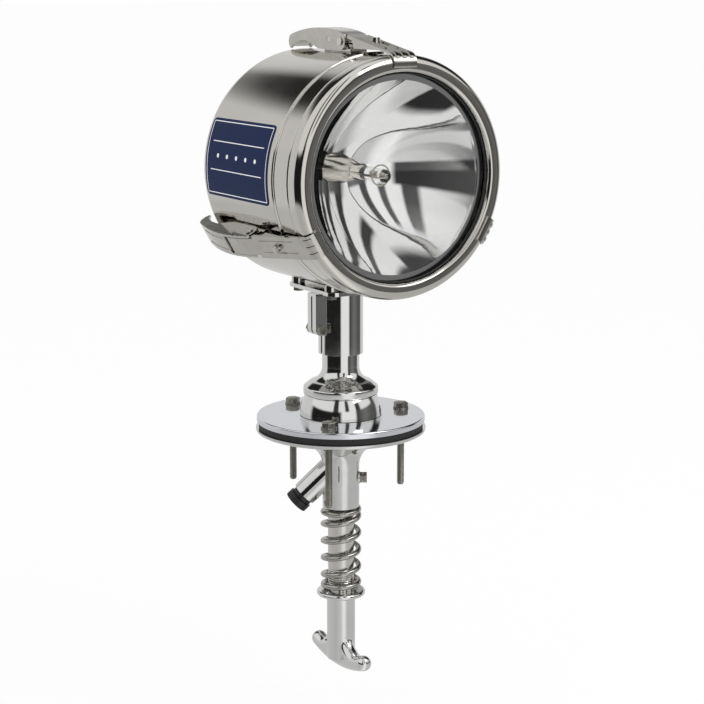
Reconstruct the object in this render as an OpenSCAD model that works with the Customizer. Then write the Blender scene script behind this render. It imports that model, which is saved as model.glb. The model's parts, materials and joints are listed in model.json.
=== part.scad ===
// Roof-mounted marine searchlight, worked from the cabin below by a T-handle.
// Turning the handle pans the head. Pushing it up against the spring tips the beam down.
// Frame: +Z up along the control stem, the beam leaves along -Y, and z = 0 is the roof
// face under the gasket. All sizes are in millimetres.

/* [Lamp] */
// Diameter of the sealed-beam lamp at its rim
lamp_d = 203; // [190:0.5:206]
// Depth of the mirror bowl from rim to vertex
mirror_depth = 74; // [55:1:85]
// Diameter of the burner capsule
capsule_d = 13; // [9:0.5:15]

/* [Head] */
// Radial width of the front ring round the lamp
ring_w = 15; // [13.5:0.5:20]
// Distance from the stem axis back to the rear wall of the drum
housing_back = 79; // [65:1:100]
// Distance from the stem axis forward to the seam bead
seam_front = 66; // [58:1:75]
// Distance from the stem axis forward to the front of the ring
ring_front = 115; // [107:0.5:120]
// Sheet thickness of the drum
housing_wall = 2; // [1.5:0.1:2.5]
// Radius of the rear edge of the drum
back_edge_r = 13; // [6:0.5:25]

/* [Latches] */
// Width of a latch
latch_w = 25; // [23:0.5:32]
// Height of a latch lever over the drum
latch_h = 21.8; // [21:0.2:25]
// Diameter of the latch pins
latch_pin_d = 6; // [4.5:0.1:6.4]

/* [Saddle] */
// Height of the top of the saddle plate
saddle_top = 144.5; // [135:0.5:160]
// Width of the saddle plate
saddle_w = 60; // [58:1:80]
// Thickness of the saddle plate
saddle_t = 4; // [3:0.2:6]
// Outside diameter of the clamp socket
socket_d = 45.5; // [44:0.5:48]
// Height of the lower edge of the clamp socket
socket_bottom = 77; // [72:0.5:95]

/* [Ball and bell] */
// Radius of the ball on the roof flange
ball_r = 42; // [40.5:0.5:46]
// Diameter of the neck above the bell
neck_d = 38; // [35:0.5:41]
// Largest downward tilt of the beam
tilt_max = 25; // [10:1:26]
// Distance from the tilt axis back to the lift pin
lever_arm = 20; // [17:0.5:20.5]
// Diameter of the tilt pin
tilt_pin_d = 8; // [6:0.5:10]

/* [Roof flange] */
// Diameter of the roof flange
flange_d = 172; // [160:1:200]
// Thickness of the roof flange
flange_t = 6; // [5:0.5:8]
// How far the roof gasket is set in from the edge of the roof flange
gasket_set = 2; // [0:0.5:6]
// Thickness of the roof gasket
gasket_t = 7; // [5:0.5:10]
// How far the counter flange stands out past the roof flange
counter_lap = 1; // [0:0.5:4]
// Diameter of the circle that the roof bolts stand on
bolt_pcd = 132; // [115:1:140]
// Number of roof bolts
bolt_count = 3; // [3:1:6]
// Length of a roof bolt under its washer
bolt_len = 83; // [60:1:120]

/* [Guide tube and stem] */
// Outside diameter of the guide tube
tube_d = 38; // [37:0.5:40]
// Height of the lower end of the guide tube
tube_bottom = -85; // [-110:1:-84]
// Diameter of the control stem
stem_d = 27; // [25:0.5:28]
// Outside diameter of the cable branch
branch_d = 26.5; // [25:0.5:30]
// Length of the cable branch from the stem axis
branch_len = 53; // [50:0.5:65]
// Diameter of the cable hole in the gland nut
cable_d = 8; // [5:0.5:10]

/* [Spring and handle] */
// Wire diameter of the spring
spring_wire = 5.7; // [4:0.1:6]
// Outside diameter of the spring
spring_d = 42.5; // [41:0.1:44]
// Free length of the spring
spring_len = 90; // [70:1:120]
// Working coils of the spring
spring_coils = 4; // [3:1:6]
// Outside diameter of the handle's collar
collar_d = 50.6; // [47:0.2:60]
// Thickness of the handle's collar
collar_t = 5.5; // [4:0.5:8]
// Diameter of the handle's shank
shank_d = 29; // [28.6:0.2:34]
// Length of the handle's grip bar
grip_len = 105; // [80:1:130]
// Diameter of the handle's grip bar
grip_d = 16; // [14:0.5:20]
// Height of the middle of the grip bar below the collar's lower face
grip_drop = 71; // [60:1:95]

/* [Hidden] */
$fn = 96;

// Clearances
run_gap = 0.05;
slide_gap = 0.3;
part_gap = 0.4;
face_gap = 0.2;
eps = 0.01;

// Roof flange stack
flange_top = gasket_t + flange_t;
gasket_d = flange_d - 2 * gasket_set;
counter_d = flange_d + 2 * counter_lap;
tilt_z = flange_top;
flange_edge_r = 1.5;
bolt_r = 4;
bolt_thread_r = 3.75;
bolt_hole_r = 4.5;
counter_hole_r = 5;
bolt_head_h = 5.3;
bolt_head_af = 13;
washer_t = 1.6;
washer_r = 8;
bolt_first_angle = -12;
counter_t = 4;
counter_edge_r = 3;

// Tilt gear inside the ball
travel = lever_arm * tan(tilt_max);
fork_half_w = 8.5;
fork_half_len = 4.5;
lug_half_w = 4;
lug_half_h = 6;
lift_pin_r = 3;
lift_slot_play = 0.45;
yoke_boss_r = tilt_pin_d / 2 + 5;
yoke_half_w = 8;
tongue_half = 7;
stud_r = 8;
stem_top = tilt_z - yoke_boss_r - travel - 1;
slot_end = lever_arm / cos(tilt_max) + 0.5;
fork_reach = norm([lever_arm + fork_half_len, fork_half_w]);
lug_reach = norm([slot_end + lug_half_h, lug_half_w]);
spigot_ir = max(fork_reach, lug_reach) + 0.6;
spigot_or = spigot_ir + 4;
flange_bush_r = spigot_or + 3;
flange_hub_r = flange_bush_r + 3.5;
flange_hub_bottom = 2;
gasket_bore_r = flange_hub_r + 1;
spigot_bottom = -0.8;
retainer_t = 1.6;
retainer_z = flange_hub_bottom - face_gap - retainer_t;
retainer_groove = 1.5;
ball_wall = 6;
ball_floor = 3.6;
ball_bottom = flange_top + part_gap;
hub_disc_r = ball_r - ball_wall - 0.5;
thrust_t = 2;
thrust_r = [flange_bush_r + 0.5, ball_r - 0.5];

// Bell and neck
bell_ir = ball_r + 0.35;
neck_r = neck_d / 2;
bell_rim_r = ball_r - 3.8;
bell_edge_h = ball_r * 0.51;
bell_rim_h = bell_edge_h + 6.3;
flare_r = 15.3;
flare_h = ball_r + 8;
neck_top = saddle_top - saddle_t - 6;
neck_screw_z = tilt_z + flare_h + 5;
neck_screw_angle = -106;
neck_screw_r = 3;
stud_top = neck_screw_z + 8;

// Saddle and clamp
socket_r = socket_d / 2;
saddle_front = 32;
saddle_rear = 58;
saddle_corner_r = 10;
saddle_gap = 2.7;
saddle_bolt_r = 3;
saddle_bolt_af = 10;
saddle_bolt_head_h = 4;
saddle_bolt_y = [-20, 45];
saddle_bolt_x = 23;
saddle_boss_r = 7;
lug_x = -28;
lug_r = 6;
lug_half_t = 8;
lug_bottom = socket_bottom + 27;
slit_w = 2.4;
clamp_screw_r = 3;
lead_hole_r = 7;

// Drum, front collar and front ring, measured forward of the stem axis
lamp_r = lamp_d / 2;
housing_r = lamp_r + ring_w;
head_z = saddle_top + saddle_gap + housing_r;
back_crown = 3;
bead_r = 1.7;
collar_overlap = 12;
collar_r = housing_r - 0.5;
collar_wall = 4;
collar_front = ring_front - 20;
seal_t = 1.4;
seal_inset = 3;
ring_back = collar_front + seal_t;
ring_round = 9;
ring_chamfer = 1.2;
ring_seat_r = lamp_r + 1;
ring_lip_r = lamp_r - 1.5;
ring_lip_back = ring_front - 6;
lip_gasket_t = 1.4;
lip_bead = 1.7;
lens_front = ring_lip_back - lip_gasket_t - 0.1;
lens_rim_t = 5;
lens_crown = 6;
lens_inner_r = lamp_r - 8.5;
mirror_rim = lens_front - lens_rim_t - 0.1;
mirror_rim_t = 2.9;
mirror_r = lamp_r - 9;
mirror_wall = 3.5;
mirror_vertex = mirror_rim - mirror_depth;
mirror_focus = mirror_r * mirror_r / (4 * mirror_depth);
burner_r = capsule_d / 2;
burner_base_r = burner_r + 1.4;
burner_base_back = mirror_vertex - 13;
burner_base_front = mirror_vertex + 15;
capsule_len = 42;
support_r = 0.9;
support_ring_r = burner_r + 3.5;
block_size = [40, 38, 30];
block_y = 16;

// Latch, drawn in the plane of the head axis (y) and the radius from it (v)
latch_angles = [0, 120, 240];
fulcrum = [-20, housing_r + 9.6];
link = [2, housing_r + 11];
latch_pin_r = latch_pin_d / 2;
pin_head_r = latch_pin_r + 1;
crest = [19, housing_r + latch_h];
crest_r = 205;
cheek_t = 2.7;
cheek_in = latch_w / 2 - cheek_t;
strap_half = cheek_in - part_gap;
web_t = 2.9;
skin_t = 3;
foot_y = [-34, 15];
foot_t = 2.6;
foot_skirt = 4;
tail_y = 80;
hook_t = 2;
strap_end_r = crest[1] - link[1] + 2;
strap_bend_y = -27;
hook_c = [-ring_front + ring_round, housing_r - ring_round];
hook_in_r = ring_round + part_gap;
hook_r = hook_in_r + hook_t;
rib_x = [5.5, 7.5];

// Guide tube, branch and brake
tube_r = tube_d / 2;
tube_bore_r = stem_d / 2 + 2;
trumpet_r = 16;
trumpet_wall = 2;
trumpet_z = -5 - trumpet_r;
mouth_r = 25;
mouth_z = -42;
mouth_a = 125;
mouth_top_r = 53;
chamber_r = spigot_or + 1.5;
stem_r = stem_d / 2;
upper_bush_z = [-30, -19.5];
lower_bush_len = 12;
branch_z = -35;
branch_angle = 148;
branch_drop = 135;
branch_bore_r = branch_d / 2 - 4.75;
gland_r = branch_d / 2 - 2.25;
gland_len = 5.5;
gland_spigot = 11;
gland_nut_r = branch_d / 2 - 0.5;
gland_nut_len = 7.5;
seal_r = gland_r - 4.5;
cable_r = cable_d / 2;
brake_angle = -32;
brake_z = -55;
brake_r = 3;
brake_af = 10;
brake_nut_t = 3;
brake_head_h = 4;
brake_boss_r = 6.5;
brake_face = tube_r + 0.6;
lead_bore_r = 5.5;
waist_z = [-50, -32];
waist_r = stem_r - 4;
thread_r = stem_r - 0.5;
thread_len = 24;

// Spring and handle
spring_top = tube_bottom - face_gap;
collar_top = spring_top - spring_len - face_gap;
collar_bottom = collar_top - collar_t;
handle_top = collar_bottom;
grip_z = handle_top - grip_drop;
grip_rise = 8;
grip_r = grip_d / 2;
grip_half = grip_len / 2 - grip_r;
grip_bend_r = (grip_half * grip_half + grip_rise * grip_rise) / (2 * grip_rise);
stem_bottom = handle_top - 40;
shank_r = shank_d / 2;
handle_pin_z = handle_top - 22;
handle_pin_r = 2.5;
spring_rings = 20;
spring_sides = 8;

// Shared helpers
function arc(c, r, a, n = 8) = [for (i = [0:n]) c + r * [cos(a[0] + (a[1] - a[0]) * i / n),
    sin(a[0] + (a[1] - a[0]) * i / n)]];
function flip(list) = [for (i = [len(list) - 1:-1:0]) list[i]];
function crest_v(y) = crest[1] - (y - crest[0]) * (y - crest[0]) / (2 * crest_r);

module tube(r_out, r_in, h) {
    difference() {
        cylinder(r = r_out, h = h);
        translate([0, 0, -eps]) cylinder(r = r_in, h = h + 2 * eps);
    }
}

// A hexagon head or nut of a given width across flats
module hex(af, h) {
    cylinder(r = af / sqrt(3), h = h, $fn = 6);
}

// Children stand on the bolt circle
module on_bolt_circle() {
    for (i = [0:bolt_count - 1])
        rotate([0, 0, bolt_first_angle + 360 * i / bolt_count]) translate([bolt_pcd / 2, 0, 0]) children();
}

// Children are drawn around +Z, which points forward along the beam
module along_beam() {
    translate([0, 0, head_z]) rotate([90, 0, 0]) children();
}

// Children are drawn for the top latch, with z as the radius from the head axis
module at_latch(i) {
    translate([0, 0, head_z]) rotate([0, latch_angles[i], 0]) children();
}

// Extrude an outline in the y, z plane between two x values
module side_plate(x0, x1) {
    translate([x0, 0, 0]) rotate([90, 0, 90]) linear_extrude(x1 - x0) children();
}

// The same outline on both sides of the middle
module side_plates(x0, x1) {
    side_plate(x0, x1) children();
    side_plate(-x1, -x0) children();
}

// Children are drawn around the cable branch's axis
module on_branch() {
    translate([0, 0, branch_z]) rotate([0, branch_drop, branch_angle]) children();
}

// Children are drawn around the brake screw, with z as the radius from the stem
module on_brake() {
    translate([0, 0, brake_z]) rotate([0, 90, brake_angle]) children();
}

// Roof flange with the bush hub below it
module deck_flange() {
    color("gainsboro") difference() {
        union() {
            rotate_extrude() polygon(concat(
                [[flange_bush_r, gasket_t], [flange_d / 2, gasket_t]],
                arc([flange_d / 2 - flange_edge_r, flange_top - flange_edge_r], flange_edge_r, [0, 90], 5),
                [[flange_bush_r, flange_top]]));
            translate([0, 0, flange_hub_bottom])
                tube(flange_hub_r, flange_bush_r, gasket_t - flange_hub_bottom + 1);
        }
        translate([0, 0, flange_top - thrust_t])
            tube(thrust_r[1] + face_gap, thrust_r[0] - face_gap, thrust_t + 1);
        on_bolt_circle() translate([0, 0, gasket_t - 1]) cylinder(r = bolt_hole_r, h = flange_t + 2);
    }
}

module flange_bush() {
    color("peru") translate([0, 0, flange_hub_bottom])
        tube(flange_bush_r, spigot_or + run_gap, flange_top - flange_hub_bottom);
}

module thrust_washer() {
    color("peru") translate([0, 0, flange_top - thrust_t])
        tube(thrust_r[1], thrust_r[0], thrust_t + face_gap);
}

module roof_gasket() {
    color([0.08, 0.08, 0.08]) difference() {
        tube(gasket_d / 2, gasket_bore_r, gasket_t);
        on_bolt_circle() translate([0, 0, -1]) cylinder(r = counter_hole_r, h = gasket_t + 2);
    }
}

// Counter flange, trumpet, guide tube and cable branch in one casting
module counter_flange() {
    arc_c = [tube_r + trumpet_r, trumpet_z];
    inner_r = trumpet_r + trumpet_wall;
    chamber_a = acos((chamber_r - arc_c[0]) / inner_r);
    bore_a = 180 - asin(0.05);
    color("gainsboro") difference() {
        union() {
            rotate_extrude() polygon(concat(
                [[tube_bore_r, tube_bottom], [tube_r, tube_bottom]],
                arc([tube_r + mouth_r, mouth_z], mouth_r, [180, mouth_a], 14),
                [[mouth_top_r, -counter_t - 1]],
                arc([counter_d / 2, -counter_t] + counter_edge_r * [-1, 1], counter_edge_r, [-90, 0], 5),
                [[counter_d / 2, 0], [chamber_r, 0]],
                arc(arc_c, inner_r, [chamber_a, bore_a], 10),
                [[tube_bore_r, trumpet_z - 2]]));
            difference() {
                on_branch() cylinder(r = branch_d / 2, h = branch_len);
                translate([0, 0, tube_bottom]) cylinder(r = tube_bore_r + 0.5, h = -tube_bottom);
            }
            on_brake() translate([0, 0, tube_bore_r + 0.5])
                cylinder(r = brake_boss_r, h = brake_face - tube_bore_r - 0.5);
        }
        on_branch() cylinder(r = branch_bore_r, h = branch_len + 1);
        on_brake() cylinder(r = brake_r + run_gap, h = brake_face + 1);
        on_bolt_circle() translate([0, 0, -counter_t - 3]) cylinder(r = counter_hole_r, h = counter_t + 4);
    }
}

module upper_guide_bush() {
    color("peru") translate([0, 0, upper_bush_z[0]])
        tube(tube_bore_r, stem_r + run_gap, upper_bush_z[1] - upper_bush_z[0]);
}

module lower_guide_bush() {
    color("peru") translate([0, 0, tube_bottom]) tube(tube_bore_r, stem_r + run_gap, lower_bush_len);
}

// Through-bolts that hang below the counter flange, threaded from the roof face down
module deck_bolts() {
    head_z0 = flange_top + washer_t;
    color("dimgray") on_bolt_circle() {
        translate([0, 0, head_z0]) difference() {
            hex(bolt_head_af, bolt_head_h);
            translate([0, 0, bolt_head_h]) rotate_extrude()
                polygon([[bolt_head_af / 2 - 0.3, eps], [bolt_head_af, eps], [bolt_head_af, -3]]);
        }
        cylinder(r = bolt_r, h = head_z0 + 1);
        translate([0, 0, head_z0 - bolt_len]) cylinder(r = bolt_thread_r, h = bolt_len - head_z0 + 1);
    }
}

module bolt_washers() {
    color("silver") on_bolt_circle() translate([0, 0, flange_top]) tube(washer_r, bolt_hole_r, washer_t);
}

module brake_screw() {
    color("silver") on_brake() {
        translate([0, 0, stem_r + 2]) cylinder(r = brake_r, h = brake_face + brake_nut_t - stem_r);
        translate([0, 0, brake_face + brake_nut_t + face_gap]) hex(brake_af, brake_head_h);
    }
}

module brake_locknut() {
    color("silver") on_brake() translate([0, 0, brake_face]) difference() {
        hex(brake_af, brake_nut_t);
        translate([0, 0, -1]) cylinder(r = brake_r + run_gap, h = brake_nut_t + 2);
    }
}

module brake_pad() {
    color("ivory") on_brake() difference() {
        cylinder(r = brake_r, h = stem_r + 2);
        translate([0, 0, -eps]) rotate([0, 90, 0])
            cylinder(r = stem_r + run_gap, h = 4 * brake_r, center = true);
    }
}

module gland_body() {
    color([0.07, 0.07, 0.07]) on_branch() difference() {
        union() {
            translate([0, 0, branch_len]) cylinder(r = gland_r, h = gland_len);
            translate([0, 0, branch_len - gland_spigot])
                cylinder(r = branch_bore_r - run_gap, h = gland_spigot + 1);
        }
        translate([0, 0, branch_len - gland_spigot - 1])
            cylinder(r = cable_r + 0.5, h = gland_spigot + gland_len + 2);
        translate([0, 0, branch_len + 1]) cylinder(r = seal_r, h = gland_len);
    }
}

module gland_seal() {
    color([0.12, 0.12, 0.12]) on_branch() translate([0, 0, branch_len + 1])
        tube(seal_r, cable_r + 0.2, gland_len - 1);
}

module gland_nut() {
    ridges = 24;
    color([0.07, 0.07, 0.07]) on_branch() translate([0, 0, branch_len + gland_len]) difference() {
        tube(gland_nut_r, cable_r, gland_nut_len);
        for (i = [0:ridges - 1]) rotate([0, 0, 360 * i / ridges])
            translate([gland_nut_r + 0.4, 0, 1.5]) cylinder(r = 0.8, h = gland_nut_len, $fn = 24);
    }
}

// Hub that turns in the flange bush and carries the tilt pin between two cheeks
module turret_hub() {
    cheek_x0 = yoke_half_w + slide_gap;
    cheek_x1 = cheek_x0 + 6;
    cheek_r = tilt_pin_d / 2 + 4.5;
    cheek_bottom = stem_top + travel + 0.7;
    rib_x0 = fork_half_w + slide_gap;
    rib_y0 = stem_r + 0.7;
    color("silver") difference() {
        union() {
            translate([0, 0, spigot_bottom])
                tube(spigot_or, spigot_ir, ball_bottom + ball_floor - spigot_bottom);
            translate([0, 0, ball_bottom]) tube(hub_disc_r, spigot_ir, ball_floor);
            side_plates(cheek_x0, cheek_x1) {
                translate([0, tilt_z]) circle(r = cheek_r);
                translate([-cheek_r, cheek_bottom]) square([2 * cheek_r, tilt_z - cheek_bottom]);
            }
            for (s = [-1, 1]) translate([s * (cheek_x1 + spigot_ir + 1) / 2, 0, cheek_bottom + 3])
                cube([spigot_ir + 1 - cheek_x1 + 2, 12, 6], center = true);
            intersection() {
                side_plates(rib_x0, rib_x0 + 3)
                    translate([rib_y0, 1.2]) square([spigot_ir, ball_bottom - 1.2]);
                translate([0, 0, spigot_bottom]) cylinder(r = spigot_ir + 1, h = 30);
            }
        }
        translate([0, 0, tilt_z]) rotate([0, 90, 0])
            cylinder(r = tilt_pin_d / 2, h = 2 * cheek_x1 + 2, center = true);
        translate([0, 0, retainer_z]) tube(spigot_or + 1, spigot_or - retainer_groove, retainer_t);
    }
}

// Polished ball shell with the slot that the yoke's tongue swings in
module turret_ball() {
    slot_front = ball_r * sin(tilt_max) + tongue_half + 1;
    color("whitesmoke") difference() {
        translate([0, 0, tilt_z]) sphere(r = ball_r);
        translate([0, 0, tilt_z]) sphere(r = ball_r - ball_wall);
        translate([0, 0, ball_bottom - 2 * ball_r]) cylinder(r = 2 * ball_r, h = 2 * ball_r);
        translate([0, 0, ball_bottom - 1]) cylinder(r = hub_disc_r + run_gap, h = ball_floor + 1 + face_gap);
        translate([-yoke_half_w - 1, -slot_front, tilt_z + ball_r / 2])
            cube([2 * yoke_half_w + 2, slot_front + tongue_half + 1.5, ball_r]);
    }
}

// Spring clip under the bush that keeps the hub down
module hub_retainer() {
    gap_w = 10;
    color("dimgray") translate([0, 0, retainer_z]) difference() {
        tube(spigot_or + 2.2, spigot_or - retainer_groove + run_gap, retainer_t);
        translate([-gap_w / 2, -2 * spigot_or, -1]) cube([gap_w, 2 * spigot_or, retainer_t + 2]);
    }
}

module tilt_pin() {
    color("silver") translate([0, 0, tilt_z]) rotate([0, 90, 0])
        cylinder(r = tilt_pin_d / 2, h = 2 * (yoke_half_w + slide_gap + 6), center = true);
}

// Hollow stem: fork on top for the lift pin, a waist where the lead comes in
module control_stem() {
    crotch = tilt_z - lug_half_h / cos(tilt_max) - (fork_half_len + 1) * tan(tilt_max) - 0.5;
    fork_y = [lever_arm - fork_half_len, lever_arm + fork_half_len];
    fork_top = tilt_z + lift_pin_r + 2.2;
    color("lightgray") difference() {
        union() {
            rotate_extrude() polygon([[0, stem_bottom], [stem_r, stem_bottom], [stem_r, handle_top],
                [thread_r, handle_top], [thread_r, collar_top + thread_len - 0.5],
                [stem_r, collar_top + thread_len], [stem_r, waist_z[0]],
                [waist_r, waist_z[0]], [waist_r, waist_z[1]], [stem_r, waist_z[1]], [stem_r, stem_top],
                [lead_bore_r, stem_top], [lead_bore_r, waist_z[0]], [0, waist_z[0]]]);
            side_plate(-fork_half_w, fork_half_w) polygon([[lead_bore_r + 2, stem_top - 9],
                [stem_r - 1, stem_top - 8], [fork_y[1], stem_top + 3.3], [fork_y[1], fork_top],
                [fork_y[0], fork_top], [fork_y[0], stem_top + 0.3], [lead_bore_r + 2, stem_top + 0.3]]);
        }
        side_plate(-lug_half_w - slide_gap, lug_half_w + slide_gap)
            translate([fork_y[0] - 1, crotch]) square([2 * fork_half_len + 2, fork_top - crotch + 1]);
        translate([0, lever_arm, tilt_z]) rotate([0, 90, 0])
            cylinder(r = lift_pin_r, h = 2 * fork_half_w + 2, center = true);
        translate([0, 0, (waist_z[0] + waist_z[1]) / 2]) rotate([0, 90, branch_angle])
            cylinder(r = lead_bore_r - 1, h = stem_r);
        translate([0, 0, handle_pin_z]) rotate([0, 90, 0])
            cylinder(r = handle_pin_r, h = 2 * stem_r + 2, center = true);
    }
}

module lift_pin() {
    color("silver") translate([0, lever_arm, tilt_z]) rotate([0, 90, 0])
        cylinder(r = lift_pin_r, h = 2 * fork_half_w, center = true);
}

// Round nut on the stem's thread that carries the spring and sets its load
module spring_collar() {
    edge = collar_t / 2;
    color("whitesmoke") translate([0, 0, collar_bottom]) rotate_extrude() polygon(concat(
        [[thread_r + run_gap, 0]],
        arc([collar_d / 2 - edge, edge], edge, [-90, 90], 12),
        [[thread_r + run_gap, collar_t]]));
}

// T-handle: shank, blend and a grip bar whose ends curve up
module handle() {
    bend_z = grip_z + grip_bend_r;
    half_angle = asin(grip_half / grip_bend_r);
    blend_half = shank_r + 5;
    color("whitesmoke") difference() {
        union() {
            translate([0, 0, grip_z + 8]) cylinder(r = shank_r, h = handle_top - grip_z - 8);
            hull() {
                translate([0, 0, grip_z + 22]) cylinder(r = shank_r, h = 1, $fn = 32);
                for (s = [-1, 1]) translate([0, s * blend_half, grip_z + 1.2])
                    sphere(r = grip_r - 0.6, $fn = 32);
            }
            translate([0, 0, bend_z]) rotate([0, 90, 0]) rotate([0, 0, -half_angle])
                rotate_extrude(angle = 2 * half_angle) translate([grip_bend_r, 0]) circle(r = grip_r);
            for (s = [-1, 1]) translate([0, s * grip_half, grip_z + grip_rise]) sphere(r = grip_r);
        }
        translate([0, 0, stem_bottom - 2]) cylinder(r = stem_r + run_gap, h = handle_top - stem_bottom + 3);
        translate([0, 0, handle_pin_z]) rotate([0, 90, 0])
            cylinder(r = handle_pin_r, h = 2 * shank_r + 2, center = true);
    }
}

module handle_pin() {
    color("silver") translate([0, 0, handle_pin_z]) rotate([0, 90, 0])
        cylinder(r = handle_pin_r, h = 2 * shank_r - 1, center = true);
}

// Height of the wire's centre after t turns: one closed coil at each end, open coils between
function spring_rise(t) = let (n = spring_coils, close = spring_wire,
    open = (spring_len - 3 * spring_wire) / n)
    spring_wire / 2 + (t < 1 ? t * close
        : t < n + 1 ? close + (t - 1) * open
        : close + n * open + (t - n - 1) * close);

// Compression spring as one swept wire
module balance_spring() {
    mean_r = (spring_d - spring_wire) / 2;
    turns = spring_coils + 2;
    count = turns * spring_rings;
    ring = [for (i = [0:count]) for (k = [0:spring_sides - 1])
        let (t = i / spring_rings, a = 360 * t, b = 360 * k / spring_sides,
            r = mean_r + spring_wire / 2 * cos(b))
        [r * cos(a), r * sin(a), spring_rise(t) + spring_wire / 2 * sin(b)]];
    wall = [for (i = [0:count - 1]) for (k = [0:spring_sides - 1])
        let (k2 = (k + 1) % spring_sides, p = i * spring_sides, q = p + spring_sides)
        [p + k, q + k, q + k2, p + k2]];
    caps = [[for (k = [0:spring_sides - 1]) k],
        [for (k = [spring_sides - 1:-1:0]) count * spring_sides + k]];
    color("silver") translate([0, 0, spring_top - spring_len]) polyhedron(ring, concat(wall, caps));
}

// Rocker on the tilt pin: a tongue up into the neck and a slotted lug back to the lift pin
module tilt_yoke() {
    slot_half = lift_pin_r + lift_slot_play;
    color("silver") difference() {
        union() {
            side_plate(-yoke_half_w, yoke_half_w) {
                translate([0, tilt_z]) circle(r = yoke_boss_r);
                translate([-tongue_half, tilt_z]) square([2 * tongue_half, ball_r - 3]);
            }
            translate([0, 0, tilt_z + ball_r - 5]) cylinder(r = stud_r, h = stud_top - tilt_z - ball_r + 5);
            side_plate(-lug_half_w, lug_half_w) {
                translate([0, tilt_z - lug_half_h]) square([slot_end, 2 * lug_half_h]);
                translate([slot_end, tilt_z]) circle(r = lug_half_h);
            }
        }
        translate([0, 0, tilt_z]) rotate([0, 90, 0])
            cylinder(r = tilt_pin_d / 2 + run_gap, h = 2 * yoke_half_w + 2, center = true);
        side_plate(-lug_half_w - 1, lug_half_w + 1) {
            translate([lever_arm - 0.5, tilt_z]) circle(r = slot_half);
            translate([slot_end, tilt_z]) circle(r = slot_half);
            translate([lever_arm - 0.5, tilt_z - slot_half])
                square([slot_end - lever_arm + 0.5, 2 * slot_half]);
        }
    }
}

// Flared bell over the ball with the neck tube above it
module bell_neck() {
    edge_r = sqrt(bell_ir * bell_ir - bell_edge_h * bell_edge_h);
    flare_c = [neck_r + flare_r, flare_h];
    color("whitesmoke") difference() {
        translate([0, 0, tilt_z]) rotate_extrude() polygon(concat(
            [[0, bell_edge_h], [edge_r + 0.3, bell_edge_h], [bell_rim_r, bell_edge_h + 2],
            [bell_rim_r, bell_rim_h], [bell_rim_r - 1.6, bell_rim_h + 3]],
            arc(flare_c, flare_r, [258, 180], 20),
            [[neck_r, neck_top - tilt_z], [0, neck_top - tilt_z]]));
        translate([0, 0, tilt_z]) sphere(r = bell_ir);
        translate([0, 0, tilt_z]) cylinder(r = stud_r + run_gap, h = neck_top - tilt_z + 1);
        translate([0, 0, neck_screw_z]) rotate([0, 90, neck_screw_angle])
            cylinder(r = neck_screw_r, h = neck_r + 1);
    }
}

module neck_screw() {
    color("dimgray") translate([0, 0, neck_screw_z]) rotate([0, 90, neck_screw_angle]) difference() {
        translate([0, 0, stud_r + run_gap]) cylinder(r = neck_screw_r, h = neck_r - stud_r - 0.8);
        translate([0, 0, neck_r - 3.5]) hex(3, 4);
    }
}

module rounded_plate(x, y0, y1, r, h) {
    linear_extrude(h) {
        translate([-x + r, y0]) square([2 * (x - r), y1 - y0]);
        translate([-x, y0 + r]) square([2 * x, y1 - y0 - 2 * r]);
        for (sx = [-1, 1], y = [y0 + r, y1 - r]) translate([sx * (x - r), y]) circle(r = r);
    }
}

// Saddle bolts at the plate's four corners
module at_saddle_bolts() {
    for (sx = [-1, 1], y = saddle_bolt_y) translate([sx * saddle_bolt_x, y, 0]) children();
}

// Split socket with its clamp lug under a flat saddle plate
module clamp_saddle() {
    plate_z = saddle_top - saddle_t;
    color("lightgray") difference() {
        union() {
            translate([0, 0, socket_bottom]) cylinder(r = socket_r, h = plate_z - socket_bottom + 1);
            translate([0, 0, plate_z])
                rounded_plate(saddle_w / 2, -saddle_front, saddle_rear, saddle_corner_r, saddle_t);
            translate([0, lug_half_t, 0]) rotate([90, 0, 0]) linear_extrude(2 * lug_half_t) {
                translate([lug_x, lug_bottom]) circle(r = lug_r);
                translate([lug_x - lug_r, lug_bottom])
                    square([-lug_x + lug_r - neck_r, plate_z - lug_bottom]);
                translate([lug_x, lug_bottom - lug_r]) square([-lug_x - neck_r - 1, 2 * lug_r]);
            }
        }
        translate([0, 0, socket_bottom - 1]) cylinder(r = neck_r + run_gap, h = neck_top - socket_bottom + 1);
        cylinder(r = lead_hole_r, h = saddle_top + 1);
        translate([-2 * socket_r, -slit_w / 2, socket_bottom - 1])
            cube([2 * socket_r, slit_w, plate_z - socket_bottom - 2]);
        translate([lug_x, 0, lug_bottom]) rotate([90, 0, 0])
            cylinder(r = clamp_screw_r + run_gap, h = 4 * lug_half_t, center = true);
        at_saddle_bolts() translate([0, 0, plate_z - 1]) cylinder(r = saddle_bolt_r + 0.2, h = saddle_t + 2);
    }
}

module clamp_screw() {
    color("silver") translate([lug_x, 0, lug_bottom]) rotate([90, 0, 0]) {
        translate([0, 0, -lug_half_t - 7]) cylinder(r = clamp_screw_r, h = 2 * lug_half_t + 8);
        translate([0, 0, lug_half_t]) difference() {
            cylinder(r = 5, h = 5);
            translate([0, 0, 2.5]) hex(5, 3);
        }
    }
}

module clamp_nut() {
    nut_t = 5;
    color("silver") translate([lug_x, lug_half_t + nut_t, lug_bottom]) rotate([90, 0, 0]) difference() {
        hex(10, nut_t);
        translate([0, 0, -1]) cylinder(r = clamp_screw_r + run_gap, h = nut_t + 2);
    }
}

module saddle_bolts() {
    plate_z = saddle_top - saddle_t;
    color("dimgray") at_saddle_bolts() {
        translate([0, 0, plate_z - saddle_bolt_head_h]) hex(saddle_bolt_af, saddle_bolt_head_h);
        translate([0, 0, plate_z - 1]) cylinder(r = saddle_bolt_r, h = saddle_t + 6);
    }
}

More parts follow.
